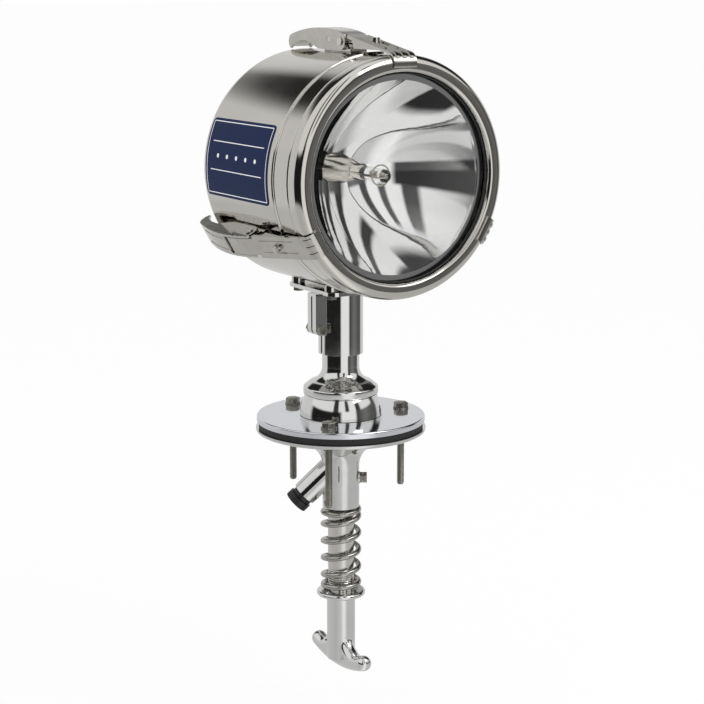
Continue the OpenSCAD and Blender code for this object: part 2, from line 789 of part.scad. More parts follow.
// Rubber sleeve where the lead passes from the neck into the drum
module lead_grommet() {
    flange = lead_hole_r + 2.5;
    wall_z = head_z - housing_r;
    color([0.1, 0.1, 0.1]) translate([0, 0, saddle_top]) difference() {
        union() {
            cylinder(r = flange, h = wall_z - saddle_top - face_gap);
            cylinder(r = lead_hole_r - run_gap, h = wall_z - saddle_top + housing_wall + 1);
        }
        translate([0, 0, -1]) cylinder(r = lead_hole_r - 2, h = 20);
    }
}

// Drum outline as radius and forward distance, moved inwards by a wall
function drum_outline(w) = concat(
    [for (i = [0:5]) let (r = (housing_r - back_edge_r) * i / 5)
        [r, w - housing_back - back_crown * (1 - pow(i / 5, 2))]],
    arc([housing_r - back_edge_r, back_edge_r - housing_back], back_edge_r - w, [-90, 0], 14),
    [[housing_r - w, seam_front]]);

// Spun drum with a crowned back and the four saddle bosses
module drum_housing() {
    color("silver") difference() {
        union() {
            along_beam() rotate_extrude() polygon(concat(drum_outline(0), flip(drum_outline(housing_wall))));
            difference() {
                at_saddle_bolts() translate([0, 0, saddle_top]) cylinder(r = saddle_boss_r, h = 10);
                along_beam() translate([0, 0, -housing_back])
                    cylinder(r = housing_r - housing_wall / 2, h = 3 * housing_back);
            }
        }
        at_saddle_bolts() translate([0, 0, saddle_top - 1]) cylinder(r = saddle_bolt_r, h = 6.2);
        translate([0, 0, saddle_top]) cylinder(r = lead_hole_r, h = 20);
    }
}

// Rolled collar with the seam bead, let into the drum
module front_collar() {
    spigot_r = housing_r - housing_wall - run_gap;
    shoulder = 1.5;
    color("silver") along_beam() rotate_extrude() polygon(concat(
        [[spigot_r - 2, seam_front - collar_overlap], [spigot_r, seam_front - collar_overlap],
        [spigot_r, seam_front], [collar_r, seam_front]],
        arc([collar_r, seam_front + bead_r], bead_r, [-90, 90], 8),
        arc([collar_r - shoulder, collar_front - shoulder], shoulder, [0, 80], 7),
        [[collar_r - shoulder, collar_front], [ring_seat_r + 1, collar_front],
        [ring_seat_r + 1, collar_front - 3],
        [collar_r - collar_wall, collar_front - shoulder - 2], [spigot_r - 2, seam_front + 4]]));
}

module front_seal() {
    color([0.08, 0.08, 0.08]) along_beam() translate([0, 0, collar_front])
        tube(collar_r - seal_inset, ring_seat_r + 2, seal_t);
}

// Rounded front ring that holds the lamp
module front_ring() {
    c = [housing_r - ring_round, ring_front - ring_round];
    color("whitesmoke") along_beam() rotate_extrude() polygon(concat(
        [[ring_seat_r, ring_back], [housing_r - ring_chamfer, ring_back]],
        [[housing_r, ring_back + ring_chamfer]],
        arc(c, ring_round, [0, 90], 16),
        [[ring_lip_r + 4, ring_front - 0.5], [ring_lip_r + 0.6, ring_front - 3.2],
        [ring_lip_r, ring_front - 4.5], [ring_lip_r, ring_lip_back], [ring_seat_r, ring_lip_back]]));
}

module lamp_gasket() {
    color([0.06, 0.06, 0.06]) along_beam() rotate_extrude() polygon([
        [ring_lip_r - lip_bead, ring_lip_back - lip_gasket_t],
        [ring_seat_r - 0.1, ring_lip_back - lip_gasket_t],
        [ring_seat_r - 0.1, ring_lip_back], [ring_lip_r - 0.1, ring_lip_back],
        [ring_lip_r - 0.6, ring_lip_back + 1.2], [ring_lip_r - lip_bead, ring_lip_back + 0.6]]);
}

// Clear crowned glass with a flat rim
module lamp_lens() {
    crown = [for (i = [0:10]) let (k = i / 10) [lens_inner_r * (1 - k), lens_crown * (1 - pow(1 - k, 2))]];
    color([0.85, 0.9, 0.95, 0.35]) along_beam() rotate_extrude() polygon(concat(
        [[lamp_r, lens_front - lens_rim_t], [lamp_r, lens_front]],
        [for (p = crown) p + [0, lens_front]],
        [for (p = flip(crown)) p + [0, lens_front - lens_rim_t]]));
}

// Parabolic glass bowl with its mirror coat inside
module lamp_mirror() {
    function bowl(r, dz) = [r, mirror_vertex + r * r / (4 * mirror_focus) + dz];
    steps = 14;
    hole_r = burner_base_r + run_gap;
    back_r = 2 * sqrt(mirror_focus * (mirror_depth - mirror_rim_t + mirror_wall));
    neck_len = 10;
    color("gainsboro") along_beam() rotate_extrude() polygon(concat(
        [for (i = [0:steps]) bowl(hole_r + (mirror_r - hole_r) * i / steps, 0)],
        [[lamp_r, mirror_rim], [lamp_r, mirror_rim - mirror_rim_t]],
        [for (i = [0:steps]) bowl(back_r + (hole_r + 4 - back_r) * i / steps, -mirror_wall)],
        [[hole_r + 4, mirror_vertex - neck_len], [hole_r, mirror_vertex - neck_len]]));
}

module lamp_retainer() {
    color("dimgray") along_beam() translate([0, 0, ring_back - 0.3])
        tube(ring_seat_r - 0.1, lamp_r - 5, mirror_rim - mirror_rim_t - ring_back + 0.2);
}

// Lamp base in the mirror's neck
module burner_base() {
    color([0.25, 0.24, 0.22]) along_beam() rotate_extrude() polygon([
        [0, burner_base_back], [burner_base_r + 3, burner_base_back],
        [burner_base_r + 3, mirror_vertex - 10.1], [burner_base_r, mirror_vertex - 10.1],
        [burner_base_r, burner_base_front - 3],
        [burner_base_r - 1.2, burner_base_front], [0, burner_base_front]]);
}

// Quartz capsule on the lamp axis
module burner_capsule() {
    color([0.9, 0.92, 0.95, 0.4]) along_beam() translate([0, 0, burner_base_front]) {
        cylinder(r = burner_r, h = capsule_len - burner_r);
        translate([0, 0, capsule_len - burner_r]) sphere(r = burner_r);
    }
}

// Two support rods from the bowl that steady a ring round the capsule
module burner_supports() {
    ring_f = burner_base_front + capsule_len - 2 * burner_r;
    foot = mirror_vertex + pow(support_ring_r + support_r, 2) / (4 * mirror_focus) + run_gap;
    color("goldenrod") along_beam() {
        translate([0, 0, ring_f]) rotate_extrude()
            translate([support_ring_r, 0]) circle(r = support_r, $fn = 24);
        for (s = [-1, 1]) translate([s * support_ring_r, 0, foot])
            cylinder(r = support_r, h = ring_f - foot, $fn = 24);
    }
}

module lamp_terminals() {
    tab = [1, 6.3, 10];
    color("goldenrod") along_beam() for (s = [-1, 1])
        translate([s * burner_base_r / 2, 0, burner_base_back - tab[2] / 2]) cube(tab, center = true);
}

// Ceramic block on the floor of the drum
module terminal_block() {
    floor_r = housing_r - housing_wall - face_gap;
    color("ivory") intersection() {
        translate([-block_size[0] / 2, block_y, head_z - housing_r]) cube(block_size);
        along_beam() translate([0, 0, -housing_back]) cylinder(r = floor_r, h = 2 * housing_back);
    }
}

// Riveted foot with two ears for each lever's fulcrum
module latch_brackets() {
    ear_r = latch_pin_r + 2;
    ear_in = ear_r - 0.3;
    foot_v = housing_r + foot_t;
    color("lightgray") for (i = [0:2]) at_latch(i) difference() {
        union() {
            side_plate(-strap_half, strap_half)
                translate([foot_y[0], housing_r - foot_skirt])
                    square([foot_y[1] - foot_y[0], foot_t + foot_skirt]);
            side_plates(strap_half - web_t, strap_half) {
                translate(fulcrum) circle(r = ear_r);
                polygon([fulcrum + [-ear_in, 0], fulcrum + [ear_in, 0],
                    [fulcrum[0] + ear_r + 5, foot_v - 1], [fulcrum[0] - ear_r - 5, foot_v - 1]]);
            }
        }
        translate([0, foot_y[0] - 1, 0]) rotate([-90, 0, 0])
            cylinder(r = housing_r + run_gap, h = foot_y[1] - foot_y[0] + 2, $fn = 360);
        translate([0, fulcrum[0], fulcrum[1]]) rotate([0, 90, 0])
            cylinder(r = latch_pin_r, h = latch_w, center = true);
    }
}

module fulcrum_pins() {
    color("silver") for (i = [0:2]) at_latch(i) translate([0, fulcrum[0], fulcrum[1]]) rotate([0, 90, 0]) {
        cylinder(r = latch_pin_r, h = latch_w + 1, center = true);
        for (s = [-1, 1]) translate([0, 0, s * (latch_w / 2 + 0.8)])
            cylinder(r = pin_head_r, h = 1.2, center = true);
    }
}

// Side outline of a lever: crowned back, rounded front round the fulcrum, hollow tail
module lever_outline() {
    front_r = fulcrum[1] - housing_r - 1;
    polygon(concat(
        [for (i = [0:8]) let (y = strap_bend_y + (70 - strap_bend_y) * i / 8) [y, crest_v(y)]],
        arc([tail_y - 8, crest_v(70) - 8.6], 8, [60, -60], 6),
        [[tail_y - 9, housing_r + 5.2], [tail_y - 20, housing_r + 8.2], [tail_y - 34, housing_r + 9],
        [22, housing_r + 1.4], [fulcrum[0], housing_r + 1]],
        arc(fulcrum, front_r, [-90, -207], 8)));
}

// The skin's part of that outline, from the link's swing back to the tail
module lever_skin_outline() {
    difference() {
        intersection() {
            lever_outline();
            polygon(concat(
                [for (i = [0:8]) let (y = (tail_y + 2) * i / 8) [y, crest_v(y) + 1]],
                [for (i = [8:-1:0]) let (y = (tail_y - skin_t) * i / 8)
                    [y, crest_v(y) - skin_t - 9 * pow(i / 8, 6)]]));
        }
        translate([link[0] - strap_end_r, 0]) square([2 * strap_end_r + 1.5, 2 * housing_r]);
    }
}

// Line of the two grooves along a lever's back
module lever_groove_outline() {
    reach = [link[0] + strap_end_r + 4, tail_y - 14];
    polygon(concat(
        [for (i = [0:6]) let (y = reach[0] + (reach[1] - reach[0]) * i / 6) [y, crest_v(y) + 1]],
        [for (i = [6:-1:0]) let (y = reach[0] + (reach[1] - reach[0]) * i / 6) [y, crest_v(y) - 1]]));
}

module latch_lever(i) {
    color("lightgray") at_latch(i) difference() {
        union() {
            side_plates(cheek_in, latch_w / 2) lever_outline();
            side_plate(-cheek_in - eps, cheek_in + eps) lever_skin_outline();
        }
        translate([0, fulcrum[0], fulcrum[1]]) rotate([0, 90, 0])
            cylinder(r = latch_pin_r + run_gap, h = 2 * latch_w, center = true);
        translate([0, link[0], link[1]]) rotate([0, 90, 0])
            cylinder(r = latch_pin_r, h = 2 * latch_w, center = true);
        side_plates(rib_x[0], rib_x[1]) lever_groove_outline();
    }
}

// Top line of a strap: along the lever's crown, then down to the front ring
to_hook = hook_c - [strap_bend_y, crest_v(strap_bend_y)];
strap_fall = atan2(-to_hook[1], -to_hook[0]) - asin(hook_r / norm(to_hook));
function strap_top(y) = y > strap_bend_y ? crest_v(y)
    : crest_v(strap_bend_y) + (y - strap_bend_y) * tan(strap_fall);

module strap_skin_outline() {
    lip_v = hook_c[1] - 3;
    difference() {
        polygon(concat(
            [for (i = [0:6]) let (y = 14 + (strap_bend_y - 14) * i / 6) [y, strap_top(y)]],
            arc(hook_c, hook_r, [90 + strap_fall, 180], 10),
            [[hook_c[0] - hook_r + 0.8, lip_v], [hook_c[0] - hook_in_r, lip_v]],
            arc(hook_c, hook_in_r, [180, 90 + strap_fall], 10),
            [for (i = [6:-1:0]) let (y = 14 + (strap_bend_y - 14) * i / 6) [y, strap_top(y) - skin_t]]));
        difference() {
            translate([link[0], link[1] - 20]) square([30, 50]);
            translate(link) circle(r = strap_end_r);
        }
    }
}

// Side webs: an eye round the link pin, and a deep stiffener ahead of the lever
module strap_web_outline() {
    eye_r = latch_pin_r + 2;
    web_y = [strap_bend_y - 9, strap_bend_y - 62];
    translate(link) circle(r = eye_r);
    polygon([link + [-eye_r, 0], link + [eye_r, 0],
        [link[0] + 4, crest_v(link[0]) - 1], [link[0] - 4, crest_v(link[0]) - 1]]);
    polygon([[web_y[0], strap_top(web_y[0]) - 1], [web_y[0] - 4, housing_r + 3],
        [web_y[1] + 4, housing_r + 3], [web_y[1], strap_top(web_y[1]) - 1]]);
}

// Flutes pressed round the hook
module flute_outline() {
    reach = [90 + strap_fall, 150];
    polygon(concat(arc(hook_c, hook_r + 0.9, reach, 8), arc(hook_c, hook_r - 1, [reach[1], reach[0]], 8)));
}

// Draw strap that hooks over the front ring, with two raised ribs, a fluted hook and its adjusting screw
module latch_strap(i) {
    wide_y = strap_bend_y - 6;
    rib_y = [wide_y - 6, wide_y - 62];
    screw_y = wide_y - 32;
    color("gainsboro") at_latch(i) difference() {
        union() {
            side_plate(-strap_half, strap_half) strap_skin_outline();
            side_plates(strap_half - 1, latch_w / 2) intersection() {
                strap_skin_outline();
                translate([-2 * ring_front, 0]) square([2 * ring_front + wide_y, 2 * housing_r]);
            }
            side_plates(strap_half - web_t, strap_half) strap_web_outline();
            side_plate(-1.6, 1.6) flute_outline();
            side_plates(rib_x[0] + 0.5, rib_x[1] + 1.7) flute_outline();
            side_plates(rib_x[0], rib_x[1]) polygon([
                [rib_y[0], strap_top(rib_y[0]) - 1], [rib_y[0] - 3, strap_top(rib_y[0] - 3) + 1],
                [rib_y[1] + 3, strap_top(rib_y[1] + 3) + 1], [rib_y[1], strap_top(rib_y[1]) - 1]]);
            translate([0, screw_y, strap_top(screw_y) - 2]) cylinder(r = 4, h = 6.5);
        }
        translate([0, link[0], link[1]]) rotate([0, 90, 0])
            cylinder(r = latch_pin_r + run_gap, h = 2 * latch_w, center = true);
    }
}

module link_pin(i) {
    color("silver") at_latch(i) translate([0, link[0], link[1]]) rotate([0, 90, 0])
        cylinder(r = latch_pin_r, h = latch_w - 0.4, center = true);
}

deck_flange();
flange_bush();
thrust_washer();
roof_gasket();
counter_flange();
upper_guide_bush();
lower_guide_bush();
deck_bolts();
bolt_washers();
brake_screw();
brake_locknut();
brake_pad();
gland_body();
gland_seal();
gland_nut();
turret_hub();
turret_ball();
hub_retainer();
tilt_pin();
control_stem();
lift_pin();
spring_collar();
handle();
handle_pin();
balance_spring();
tilt_yoke();
bell_neck();
neck_screw();
clamp_saddle();
clamp_screw();
clamp_nut();
saddle_bolts();
lead_grommet();
drum_housing();
front_collar();
front_seal();
front_ring();
lamp_gasket();
lamp_lens();
lamp_mirror();
lamp_retainer();
burner_base();
burner_capsule();
burner_supports();
lamp_terminals();
terminal_block();
latch_brackets();
fulcrum_pins();
latch_lever(0);  // latch_lever_top
latch_lever(1);  // latch_lever_right
latch_lever(2);  // latch_lever_left
latch_strap(0);  // latch_strap_top
latch_strap(1);  // latch_strap_right
latch_strap(2);  // latch_strap_left
link_pin(0);  // link_pin_top
link_pin(1);  // link_pin_right
link_pin(2);  // link_pin_left
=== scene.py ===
"""Roof-mounted marine searchlight: its finishes and fine forms, the studio and the camera."""

import json
import math

import bmesh
import bpy
from mathutils import Matrix, Vector

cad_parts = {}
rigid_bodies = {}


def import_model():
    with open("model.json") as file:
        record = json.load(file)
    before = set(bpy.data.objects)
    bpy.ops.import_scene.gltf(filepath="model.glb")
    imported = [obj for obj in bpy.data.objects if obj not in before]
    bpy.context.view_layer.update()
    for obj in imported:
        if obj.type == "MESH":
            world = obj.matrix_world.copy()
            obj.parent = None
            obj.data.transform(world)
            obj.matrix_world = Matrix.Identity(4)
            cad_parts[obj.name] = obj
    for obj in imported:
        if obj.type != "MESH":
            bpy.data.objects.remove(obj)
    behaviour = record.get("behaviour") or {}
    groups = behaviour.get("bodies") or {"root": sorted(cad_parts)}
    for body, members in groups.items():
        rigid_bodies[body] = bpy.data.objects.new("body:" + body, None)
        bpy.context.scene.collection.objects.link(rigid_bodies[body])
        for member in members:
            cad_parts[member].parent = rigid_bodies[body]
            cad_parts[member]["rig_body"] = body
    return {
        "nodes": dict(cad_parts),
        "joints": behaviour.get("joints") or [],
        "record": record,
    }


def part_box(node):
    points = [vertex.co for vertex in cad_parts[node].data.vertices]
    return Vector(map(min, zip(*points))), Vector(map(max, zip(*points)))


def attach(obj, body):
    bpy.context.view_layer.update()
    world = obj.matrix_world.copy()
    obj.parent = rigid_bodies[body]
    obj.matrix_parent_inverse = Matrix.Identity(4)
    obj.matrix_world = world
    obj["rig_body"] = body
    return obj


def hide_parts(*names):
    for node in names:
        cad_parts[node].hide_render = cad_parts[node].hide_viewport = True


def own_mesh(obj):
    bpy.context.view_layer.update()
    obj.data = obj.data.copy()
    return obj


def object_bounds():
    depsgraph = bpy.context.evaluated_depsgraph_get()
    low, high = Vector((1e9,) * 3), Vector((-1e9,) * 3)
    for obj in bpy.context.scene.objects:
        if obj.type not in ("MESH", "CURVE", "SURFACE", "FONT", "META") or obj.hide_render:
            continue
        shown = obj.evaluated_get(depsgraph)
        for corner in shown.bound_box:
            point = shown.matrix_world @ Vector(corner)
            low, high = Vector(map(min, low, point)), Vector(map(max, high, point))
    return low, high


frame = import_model()
cad_low, cad_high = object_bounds()

MM = 0.001
FULL_TURN = math.tau
TURN_STEPS = 192
MERGE_DIST = 0.002 * MM

# Angles past which an edge stays sharp, on cut pieces, turned pieces and round wire
CURVE_ANGLE = math.radians(32)
TURNED_ANGLE = math.radians(40)
WIRE_ANGLE = math.radians(60)

# Lays what was made upright along the beam, its top to the front
LAY_FORWARD = Matrix.Rotation(math.pi / 2, 4, "X")

# Places taken from the frame
nodes = frame["nodes"]
slot_of = {part["node"]: part["material_slot"] for part in frame["record"]["subparts"]}
joint_of = {joint["name"]: joint for joint in frame["joints"]}
ring_low, ring_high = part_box("front_ring")
head_z = (ring_low.z + ring_high.z) / 2
drum_r = (ring_high.x - ring_low.x) / 2
ring_front = -ring_low.y
tilt_z = joint_of["tilt"]["pos_m"][2]
BEAM = Matrix.Translation((0, 0, head_z)) @ LAY_FORWARD


# Colours and shader nodes

def linear(colour):
    """An sRGB hex colour as linear red, green, blue and alpha."""
    parts = [int(colour[i:i + 2], 16) / 255 for i in (1, 3, 5)]
    return [c / 12.92 if c <= 0.04045 else ((c + 0.055) / 1.055) ** 2.4 for c in parts] + [1.0]


def add(tree, kind, inputs=None, **settings):
    """A shader node with its settings, values and links."""
    made = tree.nodes.new(kind)
    for name, value in settings.items():
        setattr(made, name, value)
    for name, value in (inputs or {}).items():
        if isinstance(value, bpy.types.NodeSocket):
            tree.links.new(value, made.inputs[name])
        else:
            made.inputs[name].default_value = value
    return made


def blank_material(name, **sockets):
    """A material with one principled shader and its fixed values."""
    made = bpy.data.materials.new(name)
    made.use_nodes = True
    shader = made.node_tree.nodes["Principled BSDF"]
    for socket, value in sockets.items():
        shader.inputs[socket.replace("_", " ")].default_value = value
    return made, made.node_tree, shader


PATCH_DETAIL = 4.0
GRAIN_DETAIL = 3.0
# Sums of patch and grain that are given a finish's lowest and highest roughness
GLOSS_SPAN = (0.6, 1.4)


def worked_surface(name, light, dark, rough, patch_mm, grain_mm, grain_depth_mm, **sockets):
    """A surface whose colour and gloss drift over patches, with a finer grain raised in it.

    grain_mm gives the grain's length along x, y and z, so a brushed grain has one short side.
    """
    made, tree, shader = blank_material(name, **sockets)
    place = add(tree, "ShaderNodeTexCoord").outputs["Object"]
    patch = add(tree, "ShaderNodeTexNoise",
                {"Vector": place, "Scale": 1 / (patch_mm * MM), "Detail": PATCH_DETAIL})
    tint = add(tree, "ShaderNodeMix", {"Factor": patch.outputs["Fac"]}, data_type="RGBA")
    tint.inputs["A"].default_value = linear(dark)
    tint.inputs["B"].default_value = linear(light)
    tree.links.new(tint.outputs["Result"], shader.inputs["Base Color"])
    stretch = add(tree, "ShaderNodeMapping",
                  {"Vector": place, "Scale": [1 / (side * MM) for side in grain_mm]})
    grain = add(tree, "ShaderNodeTexNoise",
                {"Vector": stretch.outputs["Vector"], "Scale": 1.0, "Detail": GRAIN_DETAIL})
    both = add(tree, "ShaderNodeMath", {0: patch.outputs["Fac"], 1: grain.outputs["Fac"]}, operation="ADD")
    gloss = add(tree, "ShaderNodeMapRange",
                {"Value": both.outputs["Value"], "From Min": GLOSS_SPAN[0], "From Max": GLOSS_SPAN[1],
                 "To Min": rough[0], "To Max": rough[1]})
    tree.links.new(gloss.outputs["Result"], shader.inputs["Roughness"])
    bump = add(tree, "ShaderNodeBump",
               {"Height": grain.outputs["Fac"], "Distance": grain_depth_mm * MM, "Strength": 1.0})
    tree.links.new(bump.outputs["Normal"], shader.inputs["Normal"])
    return made


def mirror_stainless():
    """Cast stainless steel, buffed: sharp reflections with a faint haze where the mop has dragged."""
    return worked_surface("mirror_stainless", light="#e2e2e0", dark="#d8d8d6", rough=(0.04, 0.10),
                          patch_mm=22, grain_mm=(7, 7, 9), grain_depth_mm=0.002, Metallic=1.0)


def buffed_casting():
    """Sand-cast stainless steel, buffed over its skin: a mirror dimpled like orange peel."""
    return worked_surface("buffed_casting", light="#e2e2e0", dark="#cbcbc9", rough=(0.03, 0.10),
                          patch_mm=12, grain_mm=(3, 3, 4.5), grain_depth_mm=0.035, Metallic=1.0)


def satin_flange():
    """Stainless plate, faced and lapped: a pale sheen that still mirrors what stands on it."""
    return worked_surface("satin_flange", light="#e4e6ea", dark="#dadce1", rough=(0.05, 0.12),
                          patch_mm=30, grain_mm=(14, 14, 2), grain_depth_mm=0.008, Metallic=1.0)


def spun_drum():
    """Stainless sheet, spun and brushed round: reflections draw out along the drum.

    The real grain is under 0.2 mm wide, and it is drawn as 0.9 mm so that it shows.
    """
    return worked_surface("spun_drum", light="#d8d5cf", dark="#cac7c1", rough=(0.06, 0.13),
                          patch_mm=60, grain_mm=(120, 0.9, 120), grain_depth_mm=0.003, Metallic=1.0)


def pressed_latch():
    """Stainless strip, pressed and tumbled: a soft sheen with long draw marks."""
    return worked_surface("pressed_latch", light="#cfccc6", dark="#b4b1ab", rough=(0.05, 0.13),
                          patch_mm=14, grain_mm=(1.4, 40, 1.4), grain_depth_mm=0.03, Metallic=1.0)


def turned_steel():
    """Stainless bar, turned: fine rings round the bar, drawn as 0.7 mm so that they show."""
    return worked_surface("turned_steel", light="#dcdad6", dark="#cfcdc9", rough=(0.12, 0.22),
                          patch_mm=20, grain_mm=(60, 60, 0.7), grain_depth_mm=0.006, Metallic=1.0)


def zinc_plate():
    """Steel fasteners in dull zinc: grey with a brown cast and no clear reflection."""
    return worked_surface("zinc_plate", light="#a9a69e", dark="#85827a", rough=(0.26, 0.42),
                          patch_mm=5, grain_mm=(1.2, 1.2, 1.2), grain_depth_mm=0.012, Metallic=1.0)


def spring_wire():
    """Hard-drawn wire: long die marks and a grey oxide cast."""
    return worked_surface("spring_wire", light="#c4c2bd", dark="#a3a19c", rough=(0.16, 0.30),
                          patch_mm=9, grain_mm=(12, 12, 1.0), grain_depth_mm=0.008, Metallic=1.0)


def sintered_bronze():
    """Bronze bushes, sintered and oiled: warm, dull and open-pored, the pores drawn coarse to show."""
    return worked_surface("sintered_bronze", light="#b08a52", dark="#8e6c3c", rough=(0.34, 0.5),
                          patch_mm=6, grain_mm=(0.8, 0.8, 0.8), grain_depth_mm=0.02, Metallic=1.0)


def nitrile_rubber():
    """Black nitrile rubber, moulded: matt, with a bloom of grey."""
    return worked_surface("nitrile_rubber", light="#2b2b2b", dark="#1c1c1c", rough=(0.55, 0.75),
                          patch_mm=8, grain_mm=(0.9, 0.9, 0.9), grain_depth_mm=0.03, IOR=1.5)


def black_nylon():
    """Black nylon, moulded with a fine spark grain, which is drawn as 0.7 mm so that it shows."""
    return worked_surface("black_nylon", light="#1d1d20", dark="#101012", rough=(0.36, 0.52),
                          patch_mm=7, grain_mm=(0.7, 0.7, 0.7), grain_depth_mm=0.02, IOR=1.53)


def natural_nylon():
    """Unfilled nylon, sawn from rod: cream and faintly rough."""
    return worked_surface("natural_nylon", light="#ebe6d8", dark="#ddd6c4", rough=(0.4, 0.55),
                          patch_mm=5, grain_mm=(0.8, 0.8, 0.8), grain_depth_mm=0.02, IOR=1.53)


def steatite():
    """Lamp ceramic, glazed: cream with a low gloss."""
    return worked_surface("steatite", light="#ece6d6", dark="#dfd6c0", rough=(0.18, 0.34),
                          patch_mm=9, grain_mm=(1.5, 1.5, 1.5), grain_depth_mm=0.02, IOR=1.55)


def nickel_ferrule():
    """Nickel-plated lamp base: bright, with a faint straw cast from its heat."""
    return worked_surface("nickel_ferrule", light="#e2dfd8", dark="#cfcbc2", rough=(0.08, 0.18),
                          patch_mm=5, grain_mm=(1.2, 1.2, 1.2), grain_depth_mm=0.01, Metallic=1.0)


def nickel_brass():
    """Drawn nickel-brass strip and wire, plated: bright and faintly straw-coloured."""
    return worked_surface("nickel_brass", light="#dedad0", dark="#c9c4b8", rough=(0.08, 0.18),
                          patch_mm=6, grain_mm=(4, 4, 4), grain_depth_mm=0.006, Metallic=1.0)


FLOW_MARK_MM = 90
FLOW_DEPTH_MM = 0.9


def aluminised_glass():
    """Aluminium laid on pressed glass in a vacuum: a clean mirror, drawn into rays by the flow marks."""
    made = worked_surface("aluminised_glass", light="#f6f6f5", dark="#eeeeed", rough=(0.008, 0.03),
                          patch_mm=40, grain_mm=(34, 34, 34), grain_depth_mm=0.09, Metallic=1.0)
    tree = made.node_tree
    shader = tree.nodes["Principled BSDF"]
    place = add(tree, "ShaderNodeTexCoord").outputs["Object"]
    across = add(tree, "ShaderNodeMapping",
                 {"Vector": place, "Location": (0, 0, -head_z), "Scale": (1, 0, 1)}).outputs["Vector"]
    outward = add(tree, "ShaderNodeVectorMath", {0: across}, operation="NORMALIZE")
    reach = add(tree, "ShaderNodeVectorMath", {0: across}, operation="LENGTH")
    rays = add(tree, "ShaderNodeTexNoise",
               {"Vector": outward.outputs["Vector"], "Scale": drum_r / (FLOW_MARK_MM * MM), "Detail": 1.0})
    height = add(tree, "ShaderNodeMath", {0: rays.outputs["Fac"], 1: reach.outputs["Value"]},
                 operation="MULTIPLY")
    grain_normal = shader.inputs["Normal"].links[0].from_socket
    bump = add(tree, "ShaderNodeBump",
               {"Height": height.outputs["Value"], "Distance": FLOW_DEPTH_MM * MM / drum_r,
                "Strength": 1.0, "Normal": grain_normal})
    tree.links.new(bump.outputs["Normal"], shader.inputs["Normal"])
    return made


def navy_enamel():
    """Stove enamel on a thin plate: deep blue under a soft gloss."""
    return worked_surface("navy_enamel", light="#0e244f", dark="#0a1c40", rough=(0.3, 0.42),
                          patch_mm=12, grain_mm=(1.6, 1.6, 1.6), grain_depth_mm=0.01, IOR=1.5,
                          Specular_IOR_Level=0.08)


def white_enamel():
    """White stove enamel, screened in thin lines."""
    return worked_surface("white_enamel", light="#f2f3f5", dark="#e4e6ea", rough=(0.32, 0.44),
                          patch_mm=6, grain_mm=(1.2, 1.2, 1.2), grain_depth_mm=0.005, IOR=1.5)


def pressed_glass():
    """Clear borosilicate, pressed: bright at its edges and clean in the middle."""
    made, _, _ = blank_material("pressed_glass", Base_Color=linear("#ffffff"), Roughness=0.0, IOR=1.47,
                                Transmission_Weight=1.0)
    return made


def fused_quartz():
    """Clear drawn quartz."""
    made, _, _ = blank_material("fused_quartz", Base_Color=linear("#fbfbfa"), Roughness=0.02, IOR=1.46,
                                Transmission_Weight=1.0)
    return made


FINISH = {
    "polished_steel": mirror_stainless(), "satin_flange": satin_flange(), "brushed_steel": spun_drum(),
    "machined_steel": turned_steel(), "zinc_fastener": zinc_plate(), "spring_steel": spring_wire(),
    "bronze": sintered_bronze(), "black_rubber": nitrile_rubber(), "black_plastic": black_nylon(),
    "nylon": natural_nylon(), "ceramic": steatite(), "lamp_glass": pressed_glass(), "quartz": fused_quartz(),
    "mirror_coat": aluminised_glass(), "burner_metal": nickel_ferrule(), "brass_wire": nickel_brass(),
}
LATCH_FINISH = pressed_latch()
TUBE_FINISH = buffed_casting()


def finish_of(node):
    """A node's material: by its slot, but for the latches' draw marks and the guide tube's cast skin."""
    if node.startswith("latch_"):
        return LATCH_FINISH
    return TUBE_FINISH if node == "counter_flange" else FINISH[slot_of[node]]


# Building pieces

FLAT_ANGLE = math.radians(0.4)
EDGE_STEPS = 3


def settle(name, bm, node, material=None, stands_for=True, angle=CURVE_ANGLE):
    """Turn a bmesh into a piece that rides with a node's body and, unless told not to, replaces it."""
    mesh = bpy.data.meshes.new(name)
    bm.to_mesh(mesh)
    bm.free()
    mesh.shade_smooth()
    mesh.set_sharp_from_angle(angle=angle)
    mesh.materials.append(material or finish_of(node))
    piece = bpy.data.objects.new(name, mesh)
    bpy.context.scene.collection.objects.link(piece)
    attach(piece, nodes[node]["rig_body"])
    if stands_for:
        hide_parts(node)
    return piece


def eased_copy(node, edge_mm):
    """A copy of a node with its triangles merged, its curves smooth and its hard edges broken."""
    bm = bmesh.new()
    bm.from_mesh(nodes[node].data)
    bmesh.ops.remove_doubles(bm, verts=bm.verts, dist=MERGE_DIST)
    bmesh.ops.dissolve_limit(bm, angle_limit=FLAT_ANGLE, verts=bm.verts, edges=bm.edges)
    piece = settle(node + "_eased", bm, node)
    bevel = piece.modifiers.new("broken_edges", "BEVEL")
    bevel.width = edge_mm * MM
    bevel.segments = EDGE_STEPS
    bevel.limit_method = "ANGLE"
    bevel.angle_limit = CURVE_ANGLE
    bevel.material = -1
    even = piece.modifiers.new("even_normals", "WEIGHTED_NORMAL")
    even.keep_sharp = True


def join_into(bm, other, place=Matrix.Identity(4)):
    """Add another bmesh's geometry at a place."""
    bmesh.ops.transform(other, matrix=place, verts=other.verts)
    carrier = bpy.data.meshes.new("carrier")
    other.to_mesh(carrier)
    other.free()
    bm.from_mesh(carrier)
    bpy.data.meshes.remove(carrier)


def keep_modified(piece):
    """Replace a piece's mesh by what its modifiers make of it."""
    shown = piece.evaluated_get(bpy.context.evaluated_depsgraph_get())
    final = bpy.data.meshes.new_from_object(shown)
    piece.modifiers.clear()
    piece.data = final


